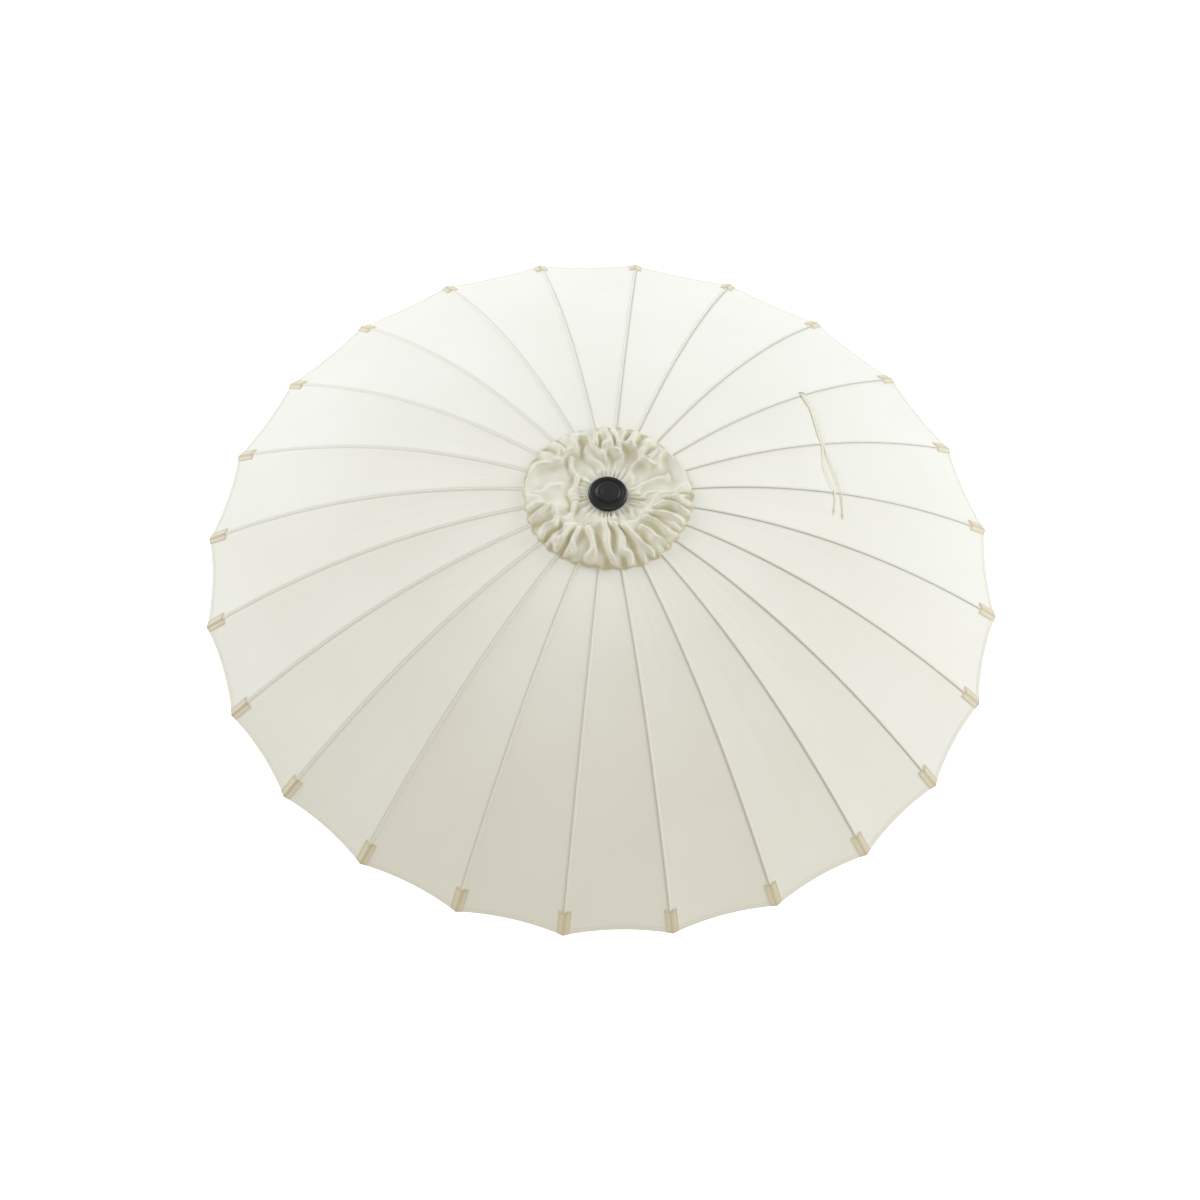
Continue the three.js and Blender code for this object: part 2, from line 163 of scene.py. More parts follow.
for name, spot, size, watts, tint in (
        ("left_softbox", (-6.6, 4.6, 5.8), 4.0, 430, "#EDF4FF"),
        ("right_softbox", (7.0, 3.6, 5.4), 4.0, 395, "#EDF4FF"),
        ("near_softbox", (1.5, -8.5, 7.0), 6.0, 175, "#FFF9EC")):
    lamp = bpy.data.objects.new(name, bpy.data.lights.new(name, "AREA"))
    lamp.data.size = size
    lamp.data.energy = watts
    lamp.data.color = linear(tint)[:3]
    lamp.location = spot
    lamp.rotation_euler = (Vector((0, 0, 2.1)) - lamp.location).to_track_quat("-Z", "Y").to_euler()
    bpy.context.collection.objects.link(lamp)
studio_air = bpy.data.worlds.new("studio_air")
studio_air.use_nodes = True
studio_air.node_tree.nodes["Background"].inputs["Color"].default_value = linear("#FDFBF5")
tree = studio_air.node_tree
ray = add(tree, "ShaderNodeLightPath")
glow = add(tree, "ShaderNodeMapRange", {"Value": ray.outputs["Is Camera Ray"], "To Min": 0.53, "To Max": 1.0})
tree.links.new(glow.outputs["Result"], tree.nodes["Background"].inputs["Strength"])
bpy.context.scene.world = studio_air
bpy.context.scene.view_settings.view_transform = "Standard"


# ---- Pole, hub, runner and crank ------------------------------------------------------
# A 38 mm aluminium tube in two lengths with a tilt knuckle, in anthracite powder coat. The hub, the
# runner and the crank housing are moulded black nylon; the crank's handle is powder coated, and its grey knob
# is polypropylene.
metal_grey, nylon_black, grip_grey, fibre_black = "#3C4043", "#1D1E1F", "#6E7275", "#2A2B2C"


def mottled(tree, shader, first, second, size, bump_size, bump_height, spread=0.08):
    """Slow drift between two tones and a fine raised grain, both sized in metres."""
    place = add(tree, "ShaderNodeTexCoord")
    drift = add(tree, "ShaderNodeTexNoise", {"Vector": place.outputs["Object"],
                                             "Scale": 1 / size, "Detail": 4.0})
    tone = add(tree, "ShaderNodeMixRGB", {"Fac": drift.outputs["Fac"],
                                          "Color1": linear(first), "Color2": linear(second)})
    tree.links.new(tone.outputs["Color"], shader.inputs["Base Color"])
    base = shader.inputs["Roughness"].default_value
    worn = add(tree, "ShaderNodeMapRange", {"Value": drift.outputs["Fac"],
                                            "To Min": base - spread, "To Max": base + spread})
    tree.links.new(worn.outputs["Result"], shader.inputs["Roughness"])
    grain = add(tree, "ShaderNodeTexNoise", {"Vector": place.outputs["Object"],
                                             "Scale": 1 / bump_size, "Detail": 2.0})
    raised = add(tree, "ShaderNodeBump", {"Height": grain.outputs["Fac"], "Strength": 0.35,
                                          "Distance": bump_height})
    tree.links.new(raised.outputs["Normal"], shader.inputs["Normal"])


# Powder coat on aluminium: satin, with the fine orange-peel of baked powder.
powder_coat, tree, shader = new_material("powder_coated_aluminium", metal_grey, Roughness=0.42)
mottled(tree, shader, "#3A3E41", "#424649", 0.09, 0.0016, 0.0002)
# Moulded nylon: deep black, spark-eroded texture, half matt.
moulded_nylon, tree, shader = new_material("moulded_nylon", nylon_black, Roughness=0.5)
mottled(tree, shader, "#191A1B", "#232425", 0.05, 0.0011, 0.00012)
# Soft grip moulded in grey polypropylene, matt.
grip_plastic, tree, shader = new_material("grip_polypropylene", grip_grey, Roughness=0.62)
mottled(tree, shader, "#666A6D", "#74787B", 0.03, 0.0012, 0.00015)
# Pulled glass-fibre rod: dark, glossy, with faint lengthwise streaks.
fibre_rod, tree, shader = new_material("glass_fibre_rod", fibre_black, Roughness=0.33)
mottled(tree, shader, "#232425", "#303132", 0.02, 0.0009, 0.0001)
# Zinc-plated rivets and screws, bright but fingerprinted.
zinc_plate, tree, shader = new_material("zinc_plated_steel", "#B9BDC0", Roughness=0.34, Metallic=1.0)
mottled(tree, shader, "#AEB2B5", "#C3C6C8", 0.01, 0.0008, 0.00005)

finishes = {"lower_pole": powder_coat, "top_pole": powder_coat, "top_hub": moulded_nylon,
            "runner": moulded_nylon, "tilt_button": moulded_nylon, "crank_housing": moulded_nylon,
            "crank_handle": powder_coat, "crank_knob": grip_plastic}
finishes.update({f"stretcher_{number:02d}": fibre_rod for number in range(1, 25)})
for name, finish in finishes.items():
    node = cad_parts[name]
    if not node.material_slots:
        node.data.materials.append(None)
    node.material_slots[0].material = finish


# ---- Ribs -----------------------------------------------------------------------------
# Twenty-four glass-fibre rods, 6 mm thick, that hold the curve of the dome. Each has an
# eye in the hub, a nylon lug where its stretcher is pinned, and a cap on its tip.
rib_count = 24
panel_half = math.pi / rib_count
canopy_low, canopy_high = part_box("canopy")
canopy_radius = canopy_high.x
cloth_thickness = 0.001
hub_lift = 0.0038              # how far the hub holds the cloth above the dome's own top
dome_top = canopy_high.z - hub_lift
dome_rise = dome_top - canopy_low.z - cloth_thickness
dome_flat = 0.130              # radius where the dome starts to fall
hub_edge = 0.058               # radius inside which the hub carries the cloth
rod_radius = 0.003
rod_clearance = 0.0006         # between a rib and the cloth
hub_pivot = 0.046
lug_radius = 0.600
lug_drop = 0.013
rod_end = canopy_radius - 0.006


def dome_level(radius):
    """Level of the cloth's top over a rib."""
    share = np.clip((np.asarray(radius, float) - dome_flat) / (canopy_radius - dome_flat), 0, None)
    return dome_top - dome_rise * share ** 2


def dome_slope(radius):
    """How much the dome falls per metre outwards."""
    share = np.clip((np.asarray(radius, float) - dome_flat) / (canopy_radius - dome_flat), 0, None)
    return 2 * dome_rise * share / (canopy_radius - dome_flat)


def rod_level(radius):
    """Level of a rib's middle."""
    gap = cloth_thickness + (rod_radius + rod_clearance) * np.hypot(1, dome_slope(radius))
    return dome_level(radius) - gap


def turned(part, number):
    """The same part, turned from the first rib to another."""
    angle = 2 * panel_half * (number - 1)
    points = np.array(part[0], float)
    c, s = math.cos(angle), math.sin(angle)
    points = points @ np.array([[c, s, 0], [-s, c, 0], [0, 0, 1]])
    return (points, *part[1:])


def skin(rings, material, closed=False):
    """Joins rings of points into a closed skin with flat ends, or round on itself."""
    rings = np.array(rings, float)
    count, around = rings.shape[:2]
    faces = []
    for i in range(count if closed else count - 1):
        here, there = i * around, (i + 1) % count * around
        faces += [(here + j, here + (j + 1) % around, there + (j + 1) % around, there + j)
                  for j in range(around)]
    if not closed:
        faces += [tuple(reversed(range(around))), tuple(range((count - 1) * around, count * around))]
    steps = np.linalg.norm(np.diff(rings[:, 0], axis=0), axis=1)
    along = np.concatenate([[0], np.cumsum(steps)])
    girth = np.linalg.norm(rings - np.roll(rings, 1, axis=1), axis=2)
    across = np.cumsum(girth, axis=1) - girth[:, :1]
    cut = np.stack([np.repeat(along[:, None], around, 1), across], axis=2)
    return rings.reshape(-1, 3), faces, material, cut.reshape(-1, 2)


def outward(part):
    """Faces of a closed skin turned so that they all point out of it."""
    points, faces = np.array(part[0]), part[1]
    volume = sum(np.dot(points[f[0]], np.cross(points[f[i]], points[f[i + 1]]))
                 for f in faces for i in range(1, len(f) - 1))
    if volume < 0:
        faces = [tuple(reversed(f)) for f in faces]
    return (part[0], faces, *part[2:])


def new_rows(name, *sockets):
    """An empty Geometry Nodes tree with its inputs, and the two ends of it."""
    tree = bpy.data.node_groups.new(name, "GeometryNodeTree")
    for socket, kind in (("Geometry", "NodeSocketGeometry"), *sockets):
        tree.interface.new_socket(name=socket, in_out="INPUT", socket_type=kind)
    tree.interface.new_socket(name="Geometry", in_out="OUTPUT", socket_type="NodeSocketGeometry")
    return tree, add(tree, "NodeGroupInput").outputs, add(tree, "NodeGroupOutput").inputs


def end_tree(tree, shape, given, result):
    """Makes a tree's copies real and gives them its material, which ends the tree."""
    real = add(tree, "GeometryNodeRealizeInstances", {"Geometry": shape})
    coated = add(tree, "GeometryNodeSetMaterial", {"Geometry": real.outputs["Geometry"],
                                                   "Material": given["Material"]})
    tree.links.new(coated.outputs["Geometry"], result["Geometry"])


def grown(tree, points, edges, material, ways=None, **sizes):
    """What a tree makes of some points and lines, as a plain part with one material."""
    seed = bpy.data.meshes.new("seed")
    seed.from_pydata([tuple(p) for p in points], edges, [])
    if ways is not None:
        seed.attributes.new("way", "FLOAT_VECTOR", "POINT").data.foreach_set(
            "vector", np.array(ways, np.float32).ravel())
    carrier = bpy.data.objects.new("seed", seed)
    bpy.context.collection.objects.link(carrier)
    grower = carrier.modifiers.new("grower", "NODES")
    grower.node_group = tree
    sizes["Material"] = material
    for item in tree.interface.items_tree:
        if item.item_type == "SOCKET" and item.in_out == "INPUT" and item.name in sizes:
            grower[item.identifier] = sizes[item.name]
    bpy.context.view_layer.update()
    plain = bpy.data.meshes.new_from_object(carrier.evaluated_get(bpy.context.evaluated_depsgraph_get()))
    carrier.modifiers.remove(grower)
    part = ([v.co[:] for v in plain.vertices], [tuple(p.vertices) for p in plain.polygons], material)
    bpy.data.objects.remove(carrier)
    bpy.data.meshes.remove(plain)
    return part


# A rod: a straight line bent to the dome's curve and given its round section.
rod_tree, given, result = new_rows("rib_rod", ("Rod radius", "NodeSocketFloat"),
                                   ("Steps", "NodeSocketInt"), ("Material", "NodeSocketMaterial"))
line = add(rod_tree, "GeometryNodeMeshToCurve", {"Mesh": given["Geometry"]})
section = add(rod_tree, "GeometryNodeCurvePrimitiveCircle", {"Resolution": given["Steps"],
                                                             "Radius": given["Rod radius"]})
swept = add(rod_tree, "GeometryNodeCurveToMesh", {"Curve": line.outputs["Curve"],
            "Profile Curve": section.outputs["Curve"], "Fill Caps": True})
end_tree(rod_tree, swept.outputs["Mesh"], given, result)

rod_steps = np.concatenate([[hub_pivot], np.linspace(0.060, rod_end, 84)])
rod_line = [(r, 0, float(rod_level(r))) for r in rod_steps]
rod = grown(rod_tree, rod_line, [(i, i + 1) for i in range(len(rod_line) - 1)], fibre_rod,
            **{"Rod radius": rod_radius, "Steps": 12})

# Rivets and screws: one low dome set on each point and facing its own way.
rivet_tree, given, result = new_rows("rivet_heads", ("Head radius", "NodeSocketFloat"),
                                     ("Flatness", "NodeSocketFloat"), ("Material", "NodeSocketMaterial"))
head = add(rivet_tree, "GeometryNodeMeshUVSphere", {"Segments": 14, "Rings": 8,
                                                    "Radius": given["Head radius"]})
squeeze = add(rivet_tree, "ShaderNodeCombineXYZ", {"X": 1.0, "Y": 1.0, "Z": given["Flatness"]})
way = add(rivet_tree, "GeometryNodeInputNamedAttribute", {"Name": "way"}, data_type="FLOAT_VECTOR")
facing = add(rivet_tree, "FunctionNodeAlignRotationToVector", {"Vector": way.outputs["Attribute"]}, axis="Z")
heads = add(rivet_tree, "GeometryNodeInstanceOnPoints", {"Points": given["Geometry"],
            "Instance": head.outputs["Mesh"], "Rotation": facing.outputs["Rotation"],
            "Scale": squeeze.outputs["Vector"]})
end_tree(rivet_tree, heads.outputs["Instances"], given, result)

# The lug is a sleeve on the rod with an ear below it; the eye at the hub is a flat ring.
lug_level = float(rod_level(lug_radius))
lug_tilt = math.atan(float(dome_slope(lug_radius)))


def barrel(middle, direction, stations, material, around=16):
    """A round part along a direction, from (distance, radius) stations."""
    ahead = Vector(direction).normalized()
    first = ahead.orthogonal().normalized()
    second = ahead.cross(first)
    rings = [[Vector(middle) + ahead * along + (first * math.cos(a) + second * math.sin(a)) * wide
              for a in np.linspace(0, 2 * math.pi, around, endpoint=False)]
             for along, wide in stations]
    return outward(skin(rings, material))


outwards = (math.cos(lug_tilt), 0, -math.sin(lug_tilt))
lug_sleeve = barrel((lug_radius, 0, lug_level), outwards,
                    [(-0.013, 0.0034), (-0.0122, 0.0043), (0.0122, 0.0043), (0.013, 0.0034)], moulded_nylon)
lug_ear = barrel((lug_radius, 0, lug_level - lug_drop), (0, 1, 0),
                 [(-0.0022, 0.0046), (-0.0018, 0.005), (0.0018, 0.005), (0.0022, 0.0046)], moulded_nylon, 20)
web = [[(lug_radius + x, y, lug_level - lug_drop + z) for x, y in
        ((-0.0044, -0.0021), (0.0044, -0.0021), (0.0044, 0.0021), (-0.0044, 0.0021))]
       for z in (0.0005, lug_drop - 0.002)]
lug_web = outward(skin(web, moulded_nylon))
hub_eye = barrel((hub_pivot, 0, float(rod_level(hub_pivot))), (0, 1, 0),
                 [(-0.0026, 0.0032), (-0.0022, 0.0038), (0.0022, 0.0038), (0.0026, 0.0032)],
                 moulded_nylon, 20)
tip_tilt = math.atan(float(dome_slope(rod_end)))
tip_cap = barrel((rod_end - 0.016, 0, float(rod_level(rod_end - 0.016))),
                 (math.cos(tip_tilt), 0, -math.sin(tip_tilt)),
                 [(0, 0.0034), (0.0006, 0.0040), (0.017, 0.0040), (0.0195, 0.0034), (0.0208, 0.0018)],
                 moulded_nylon)
rivet = grown(rivet_tree, [(lug_radius, s * 0.0052, lug_level - lug_drop) for s in (-1, 1)], [],
              zinc_plate, ways=[(0, -1, 0), (0, 1, 0)], **{"Head radius": 0.0026, "Flatness": 0.45})

for number in range(1, rib_count + 1):
    made = piece(f"rib_rod_{number:02d}", *(turned(part, number) for part in
                 (rod, lug_sleeve, lug_ear, lug_web, hub_eye, tip_cap, rivet)))
    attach(made, f"rib_{number:02d}")
    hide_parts(f"rib_{number:02d}")


# ---- Crank case screws ----------------------------------------------------------------
# Four domed steel screws, two on each side of the crank's nose, hold the two moulded
# halves of its case together. They are zinc plated, as the rivets are.

case_low, case_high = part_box("crank_housing")
case_middle = (case_low.z + case_high.z) / 2
nose_half = 0.72 * case_high.x
screw_spots = [(way * nose_half, 0.62 * case_low.y, case_middle + rise)
               for way in (-1, 1) for rise in (-0.028, 0.028)]
case_screws = piece("case_screws", grown(rivet_tree, screw_spots, [], zinc_plate,
                    ways=[(-1, 0, 0), (-1, 0, 0), (1, 0, 0), (1, 0, 0)],
                    **{"Head radius": 0.0032, "Flatness": 0.4}))
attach(case_screws, "root")


# ---- Canopy cloth ---------------------------------------------------------------------
# Off-white polyester canvas, sewn from panels and stretched over the ribs. It is drawn
# rib by rib, from the middle of one panel to the middle of the next, in seven lengths, and
# every length but the crown goes with its rib.
edge_hollow = 0.013            # how far the free edge curves in between two ribs
hollow_start = 1.000
panel_sag = 0.0035             # how far the stretched cloth dips between two ribs
crease_height = 0.0011
cloth_light, cloth_shade = "#F3F2E9", "#EBE9DD"
thread_spacing = 0.0018        # drawn three times coarser than the real 0.6 mm


def hub_rise(radius):
    """How far the hub lifts the cloth above the dome."""
    hub = np.clip((dome_flat - radius) / (dome_flat - hub_edge), 0, 1)
    return hub_lift * hub * hub * (3 - 2 * hub)


def on_dome(radius, share, number, raised=0.0):
    """Points on the cloth's top, for radii along a rib and shares from it to mid-panel."""
    radius, share = np.broadcast_arrays(np.asarray(radius, float), np.asarray(share, float))
    near = np.abs(share)
    way = np.where(share < 0, -1.0, 1.0)
    hollow = edge_hollow * (np.clip(radius - hollow_start, 0, None) / (canopy_radius - hollow_start)) ** 2
    hollow = hollow * (1 - (1 - near) ** 2)
    inner = radius - hollow / math.cos(panel_half)
    middle = 2 * panel_half * (number - 1) + way * panel_half
    lateral = radius * math.sin(panel_half) * (1 - near) * way
    reach = inner * math.cos(panel_half)
    x = reach * np.cos(middle) + lateral * np.sin(middle)
    y = reach * np.sin(middle) - lateral * np.cos(middle)
    z = dome_level(inner) + hub_rise(radius)
    spread = np.clip((radius - 0.25) / 0.35, 0, 1) * (1 - (1 - near) ** 2)
    z = z - panel_sag * spread
    slope = dome_slope(radius)
    angle = 2 * panel_half * (number - 1)
    long = np.hypot(1, slope)
    lift = np.stack([slope * math.cos(angle) / long, slope * math.sin(angle) / long, 1 / long], axis=-1)
    raised = np.asarray(raised, float)
    return np.stack([x, y, z], axis=-1) + lift * (raised[..., None] if raised.ndim else raised)


def creased(points):
    """Adds the faint packing creases that a folded canopy keeps."""
    out = points.copy()
    for i in np.ndindex(points.shape[:-1]):
        x, y, z = points[i]
        radius = math.hypot(x, y)
        angle = math.atan2(y, x)
        near = abs((angle / (2 * panel_half) + 0.5) % 1 - 0.5) * 2
        fade = min(1, near * 3) * min(1, max(0, (radius - 0.2) / 0.3))
        fade *= min(1, (canopy_radius - radius) / 0.12 + 0.15)
        slow = noise.noise(Vector((x * 3.1, y * 3.1, 4.7)))
        fine = noise.noise(Vector((angle * 40, radius * 2.4, 1.3)))
        out[i][2] += crease_height * fade * (slow + 0.8 * fine)
    return out


def cloth_sheet(top, under, cuts, material):
    """A thin closed sheet from a grid of top points and a grid of points under them."""
    rows, columns = top.shape[:2]
    count = rows * columns
    grid = np.arange(count).reshape(rows, columns)
    a, b, c, d = grid[:-1, :-1], grid[:-1, 1:], grid[1:, 1:], grid[1:, :-1]
    faces = [tuple(f) for f in np.stack([a, d, c, b], axis=-1).reshape(-1, 4)]
    faces += [tuple(f) for f in np.stack([a, b, c, d], axis=-1).reshape(-1, 4) + count]
    rim = [*grid[0], *grid[1:, -1], *grid[-1, -2::-1], *grid[-2:0:-1, 0]]
    faces += [(rim[i], rim[(i + 1) % len(rim)], rim[(i + 1) % len(rim)] + count, rim[i] + count)
              for i in range(len(rim))]
    points = np.concatenate([top.reshape(-1, 3), under.reshape(-1, 3)])
    return outward((points, faces, material, np.concatenate([cuts.reshape(-1, 2)] * 2)))


# Woven polyester canvas: soft, matt, a plain weave of round threads, very slightly uneven
# in tone, with a grey line of painted shade beside each seam, where the dark rib shows through.
canopy_canvas, tree, shader = new_material("woven_polyester_canvas", cloth_light, Roughness=0.82,
                                           Sheen_Weight=0.12, Sheen_Roughness=0.5)
cut = add(tree, "ShaderNodeUVMap", uv_map="cut")
place = add(tree, "ShaderNodeTexCoord")
warp = add(tree, "ShaderNodeTexWave", {"Vector": cut.outputs["UV"], "Scale": 0.314 / thread_spacing},
           bands_direction="X")
weft = add(tree, "ShaderNodeTexWave", {"Vector": cut.outputs["UV"], "Scale": 0.314 / thread_spacing},
           bands_direction="Y")
weave = add(tree, "ShaderNodeMath", {0: warp.outputs["Fac"], 1: weft.outputs["Fac"]}, operation="MULTIPLY")
slub = add(tree, "ShaderNodeTexNoise", {"Vector": cut.outputs["UV"], "Scale": 220.0, "Detail": 3.0})
woven = add(tree, "ShaderNodeMath", {0: weave.outputs["Value"], 1: slub.outputs["Fac"]}, operation="ADD")
raised = add(tree, "ShaderNodeBump", {"Height": woven.outputs["Value"], "Strength": 0.25, "Distance": 0.0003})
tree.links.new(raised.outputs["Normal"], shader.inputs["Normal"])
drift = add(tree, "ShaderNodeTexNoise", {"Vector": place.outputs["Object"], "Scale": 3.0, "Detail": 5.0})
tone = add(tree, "ShaderNodeMixRGB", {"Fac": drift.outputs["Fac"], "Color1": linear(cloth_light),
                                      "Color2": linear(cloth_shade)})
parts = add(tree, "ShaderNodeSeparateXYZ", {"Vector": cut.outputs["UV"]})
# Painted shade: a grey line centred 4 mm to one side of the rib, fading out by 9 mm, for the dark rib seen
# through the cloth.
beside = add(tree, "ShaderNodeMath", {0: parts.outputs["Y"], 1: 0.004}, operation="ADD")
away = add(tree, "ShaderNodeMath", {0: beside.outputs["Value"]}, operation="ABSOLUTE")
rib_shade_mask = add(tree, "ShaderNodeMapRange", {"Value": away.outputs["Value"], "From Min": 0.003,
                                         "From Max": 0.009, "To Min": 0.20, "To Max": 0.0})
painted_rib_shade = add(tree, "ShaderNodeMixRGB", {"Fac": rib_shade_mask.outputs["Result"], "Color1": tone.outputs["Color"],
                                       "Color2": linear("#8D8E88")})
tree.links.new(painted_rib_shade.outputs["Color"], shader.inputs["Base Color"])
rough = add(tree, "ShaderNodeMapRange", {"Value": drift.outputs["Fac"], "To Min": 0.76, "To Max": 0.88})
tree.links.new(rough.outputs["Result"], shader.inputs["Roughness"])

shares = np.linspace(-1, 1, 17)
hinge_level = float(rod_level(hub_pivot))
rib_swing = math.radians(66)   # how far a rib swings down as the parasol closes


def shut_share(radius):
    """How much of its open width the cloth keeps, at a radius, once the ribs hang down."""
    out, drop = radius - hub_pivot, float(rod_level(radius)) - hinge_level
    return (hub_pivot + out * math.cos(rib_swing) + drop * math.sin(rib_swing)) / radius


band_names = ("upper", "middle", "lower", "skirt", "border", "rim")
band_edges = (0.250, 0.560, 0.740, 0.920, 1.060, 1.190, canopy_radius)
lengths = [("crown", 0.056, band_edges[0], None)]
lengths += [(name, start, stop, round(shut_share(start), 3))
            for name, start, stop in zip(band_names, band_edges, band_edges[1:])]
for number in range(1, rib_count + 1):
    for part_name, start, stop, keep in lengths:
        rows = np.linspace(start, stop, max(10, round((stop - start) / 0.016)))
        top = creased(on_dome(rows[:, None], shares[None, :], number))
        drop = cloth_thickness * np.hypot(1, dome_slope(rows))[:, None]
        under = top.copy()
        under[..., 2] -= drop
        flat_along = np.cumsum(np.concatenate([[start], np.diff(rows) * np.hypot(1, dome_slope(rows[1:]))]))
        cuts = np.stack(np.broadcast_arrays(flat_along[:, None],
                        rows[:, None] * math.sin(panel_half) * shares[None, :]), axis=-1)
        made = piece(f"canopy_{number:02d}_{part_name}", cloth_sheet(top, under, cuts, canopy_canvas))
        if keep:
            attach(made, f"rib_{number:02d}")
            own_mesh(made)
        else:
            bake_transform(made)
        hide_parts("canopy")
        wide = 2 * stop * math.sin(panel_half)
        long = flat_along[-1] - start

# The round of cloth that is clamped on the hub, under the ruffle.
clamp_rings = [(0.0262, 0.0), (0.040, 0.0), (0.054, 0.0), (0.0605, -0.0002)]
clamp_angles = np.linspace(0, 2 * math.pi, 97)
clamp_level = canopy_high.z - 0.0006
clamp_top = np.array([[(r * math.cos(a), r * math.sin(a), clamp_level + dz)
                       for a in clamp_angles[:-1]] for r, dz in clamp_rings])
clamp_under = clamp_top - np.array([0, 0, cloth_thickness * 0.4])
clamp_rows = np.concatenate([clamp_top, clamp_under[::-1]])
clamp = skin(clamp_rows.transpose(1, 0, 2), canopy_canvas, closed=True)
crown_clamp = piece("crown_clamp", outward(clamp))
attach(crown_clamp, "head")


# ---- Seams, hem and tip pockets -------------------------------------------------------
# Panels meet in a flat-felled seam over each rib, with two rows of stitches. The free
# edge is turned under in a 16 mm hem, and a beige webbing pocket holds each rib's tip.
stitch_pitch, stitch_length, stitch_thick = 0.0075, 0.0056, 0.0008   # drawn twice the real pitch
seam_start, seam_end = 0.100, canopy_radius - 0.010
pocket_length, pocket_half = 0.075, 0.021
thread_white, webbing_beige, webbing_rib_shade = "#F4F2E8", "#E6DDC6", "#D0C3A2"

# A row of stitches: one short rounded stitch on each point along a line, laid along it.
stitch_tree, given, result = new_rows("stitch_rows", ("Pitch", "NodeSocketFloat"),
                                      ("Stitch length", "NodeSocketFloat"),
                                      ("Thickness", "NodeSocketFloat"), ("Material", "NodeSocketMaterial"))
line = add(stitch_tree, "GeometryNodeMeshToCurve", {"Mesh": given["Geometry"]})
spots = add(stitch_tree, "GeometryNodeCurveToPoints", {"Curve": line.outputs["Curve"],
            "Length": given["Pitch"]}, mode="LENGTH")
along = add(stitch_tree, "FunctionNodeAlignRotationToVector", {"Vector": spots.outputs["Tangent"]}, axis="X")
bead = add(stitch_tree, "GeometryNodeMeshIcoSphere", {"Radius": 0.5, "Subdivisions": 1})
size = add(stitch_tree, "ShaderNodeCombineXYZ", {"X": given["Stitch length"], "Y": given["Thickness"],
                                                 "Z": given["Thickness"]})
sewn = add(stitch_tree, "GeometryNodeInstanceOnPoints", {"Points": spots.outputs["Points"],
           "Instance": bead.outputs["Mesh"], "Rotation": along.outputs["Rotation"],
           "Scale": size.outputs["Vector"]})
end_tree(stitch_tree, sewn.outputs["Instances"], given, result)


def stitches(rows, material, pitch=stitch_pitch, length=stitch_length, thick=stitch_thick):
    """Stitches along several lines of points, as one part."""
    points, edges = [], []
    for row in rows:
        edges += [(len(points) + i, len(points) + i + 1) for i in range(len(row) - 1)]
        points += [tuple(p) for p in row]
    return grown(stitch_tree, points, edges, material,
                 **{"Pitch": pitch, "Stitch length": length, "Thickness": thick})


# Spun polyester thread, off-white, softly shiny.
sewing_thread, tree, shader = new_material("spun_polyester_thread", thread_white, Roughness=0.6)
mottled(tree, shader, "#F7F5EC", "#E9E6D8", 0.02, 0.0006, 0.00005)

# The same canvas folded four times over: a little denser and warmer than the open cloth,
# with a thin grey line of shade along the fold on one side.
felled_canvas, tree, shader = new_material("felled_seam_canvas", "#EFEDE2", Roughness=0.8)
cut = add(tree, "ShaderNodeUVMap", uv_map="cut")
parts = add(tree, "ShaderNodeSeparateXYZ", {"Vector": cut.outputs["UV"]})
shade = add(tree, "ShaderNodeMapRange", {"Value": parts.outputs["Y"], "From Min": 0.0012,
                                         "From Max": 0.0042, "To Min": 1.0, "To Max": 0.0})
threads = add(tree, "ShaderNodeTexNoise", {"Vector": cut.outputs["UV"], "Scale": 420.0, "Detail": 2.0})
tone = add(tree, "ShaderNodeMixRGB", {"Fac": threads.outputs["Fac"], "Color1": linear("#F3F1E7"),
                                      "Color2": linear("#E4E1D3")})
fold = add(tree, "ShaderNodeMixRGB", {"Fac": shade.outputs["Result"], "Color1": tone.outputs["Color"],
                                      "Color2": linear("#A9A89F")})
raised = add(tree, "ShaderNodeBump", {"Height": threads.outputs["Fac"], "Strength": 0.3, "Distance": 0.0002})
tree.links.new(fold.outputs["Color"], shader.inputs["Base Color"])
tree.links.new(raised.outputs["Normal"], shader.inputs["Normal"])

# Beige polypropylene webbing, ribbed across, with painted shade down its middle over the rib, where the dark
# rib shows through.
pocket_webbing, tree, shader = new_material("polypropylene_webbing", webbing_beige, Roughness=0.7)
place = add(tree, "ShaderNodeUVMap", uv_map="cut")
ribs_across = add(tree, "ShaderNodeTexWave", {"Vector": place.outputs["UV"], "Scale": 0.314 / 0.002,
                                              "Distortion": 0.6, "Detail": 2.0}, bands_direction="X")
parts = add(tree, "ShaderNodeSeparateXYZ", {"Vector": place.outputs["UV"]})
# Painted shade: a darker strip down the middle of the pocket's top, over the rib.
centre = add(tree, "ShaderNodeMath", {0: parts.outputs["Y"], 1: pocket_half + 0.003}, operation="SUBTRACT")
away = add(tree, "ShaderNodeMath", {0: centre.outputs["Value"]}, operation="ABSOLUTE")
pocket_rib_shade = add(tree, "ShaderNodeMapRange", {"Value": away.outputs["Value"], "From Min": 0.005,
                                        "From Max": 0.0085, "To Min": 0.75, "To Max": 0.0})
tone = add(tree, "ShaderNodeMixRGB", {"Fac": pocket_rib_shade.outputs["Result"], "Color1": linear(webbing_beige),
                                      "Color2": linear(webbing_rib_shade)})
fibre = add(tree, "ShaderNodeMixRGB", {"Fac": ribs_across.outputs["Fac"], "Color1": tone.outputs["Color"],
                                       "Color2": linear("#D6CBB0")})
soft = add(tree, "ShaderNodeMixRGB", {"Fac": 0.3, "Color1": tone.outputs["Color"],
                                      "Color2": fibre.outputs["Color"]})
raised = add(tree, "ShaderNodeBump", {"Height": ribs_across.outputs["Fac"], "Strength": 0.5,
                                      "Distance": 0.0004})
tree.links.new(soft.outputs["Color"], shader.inputs["Base Color"])
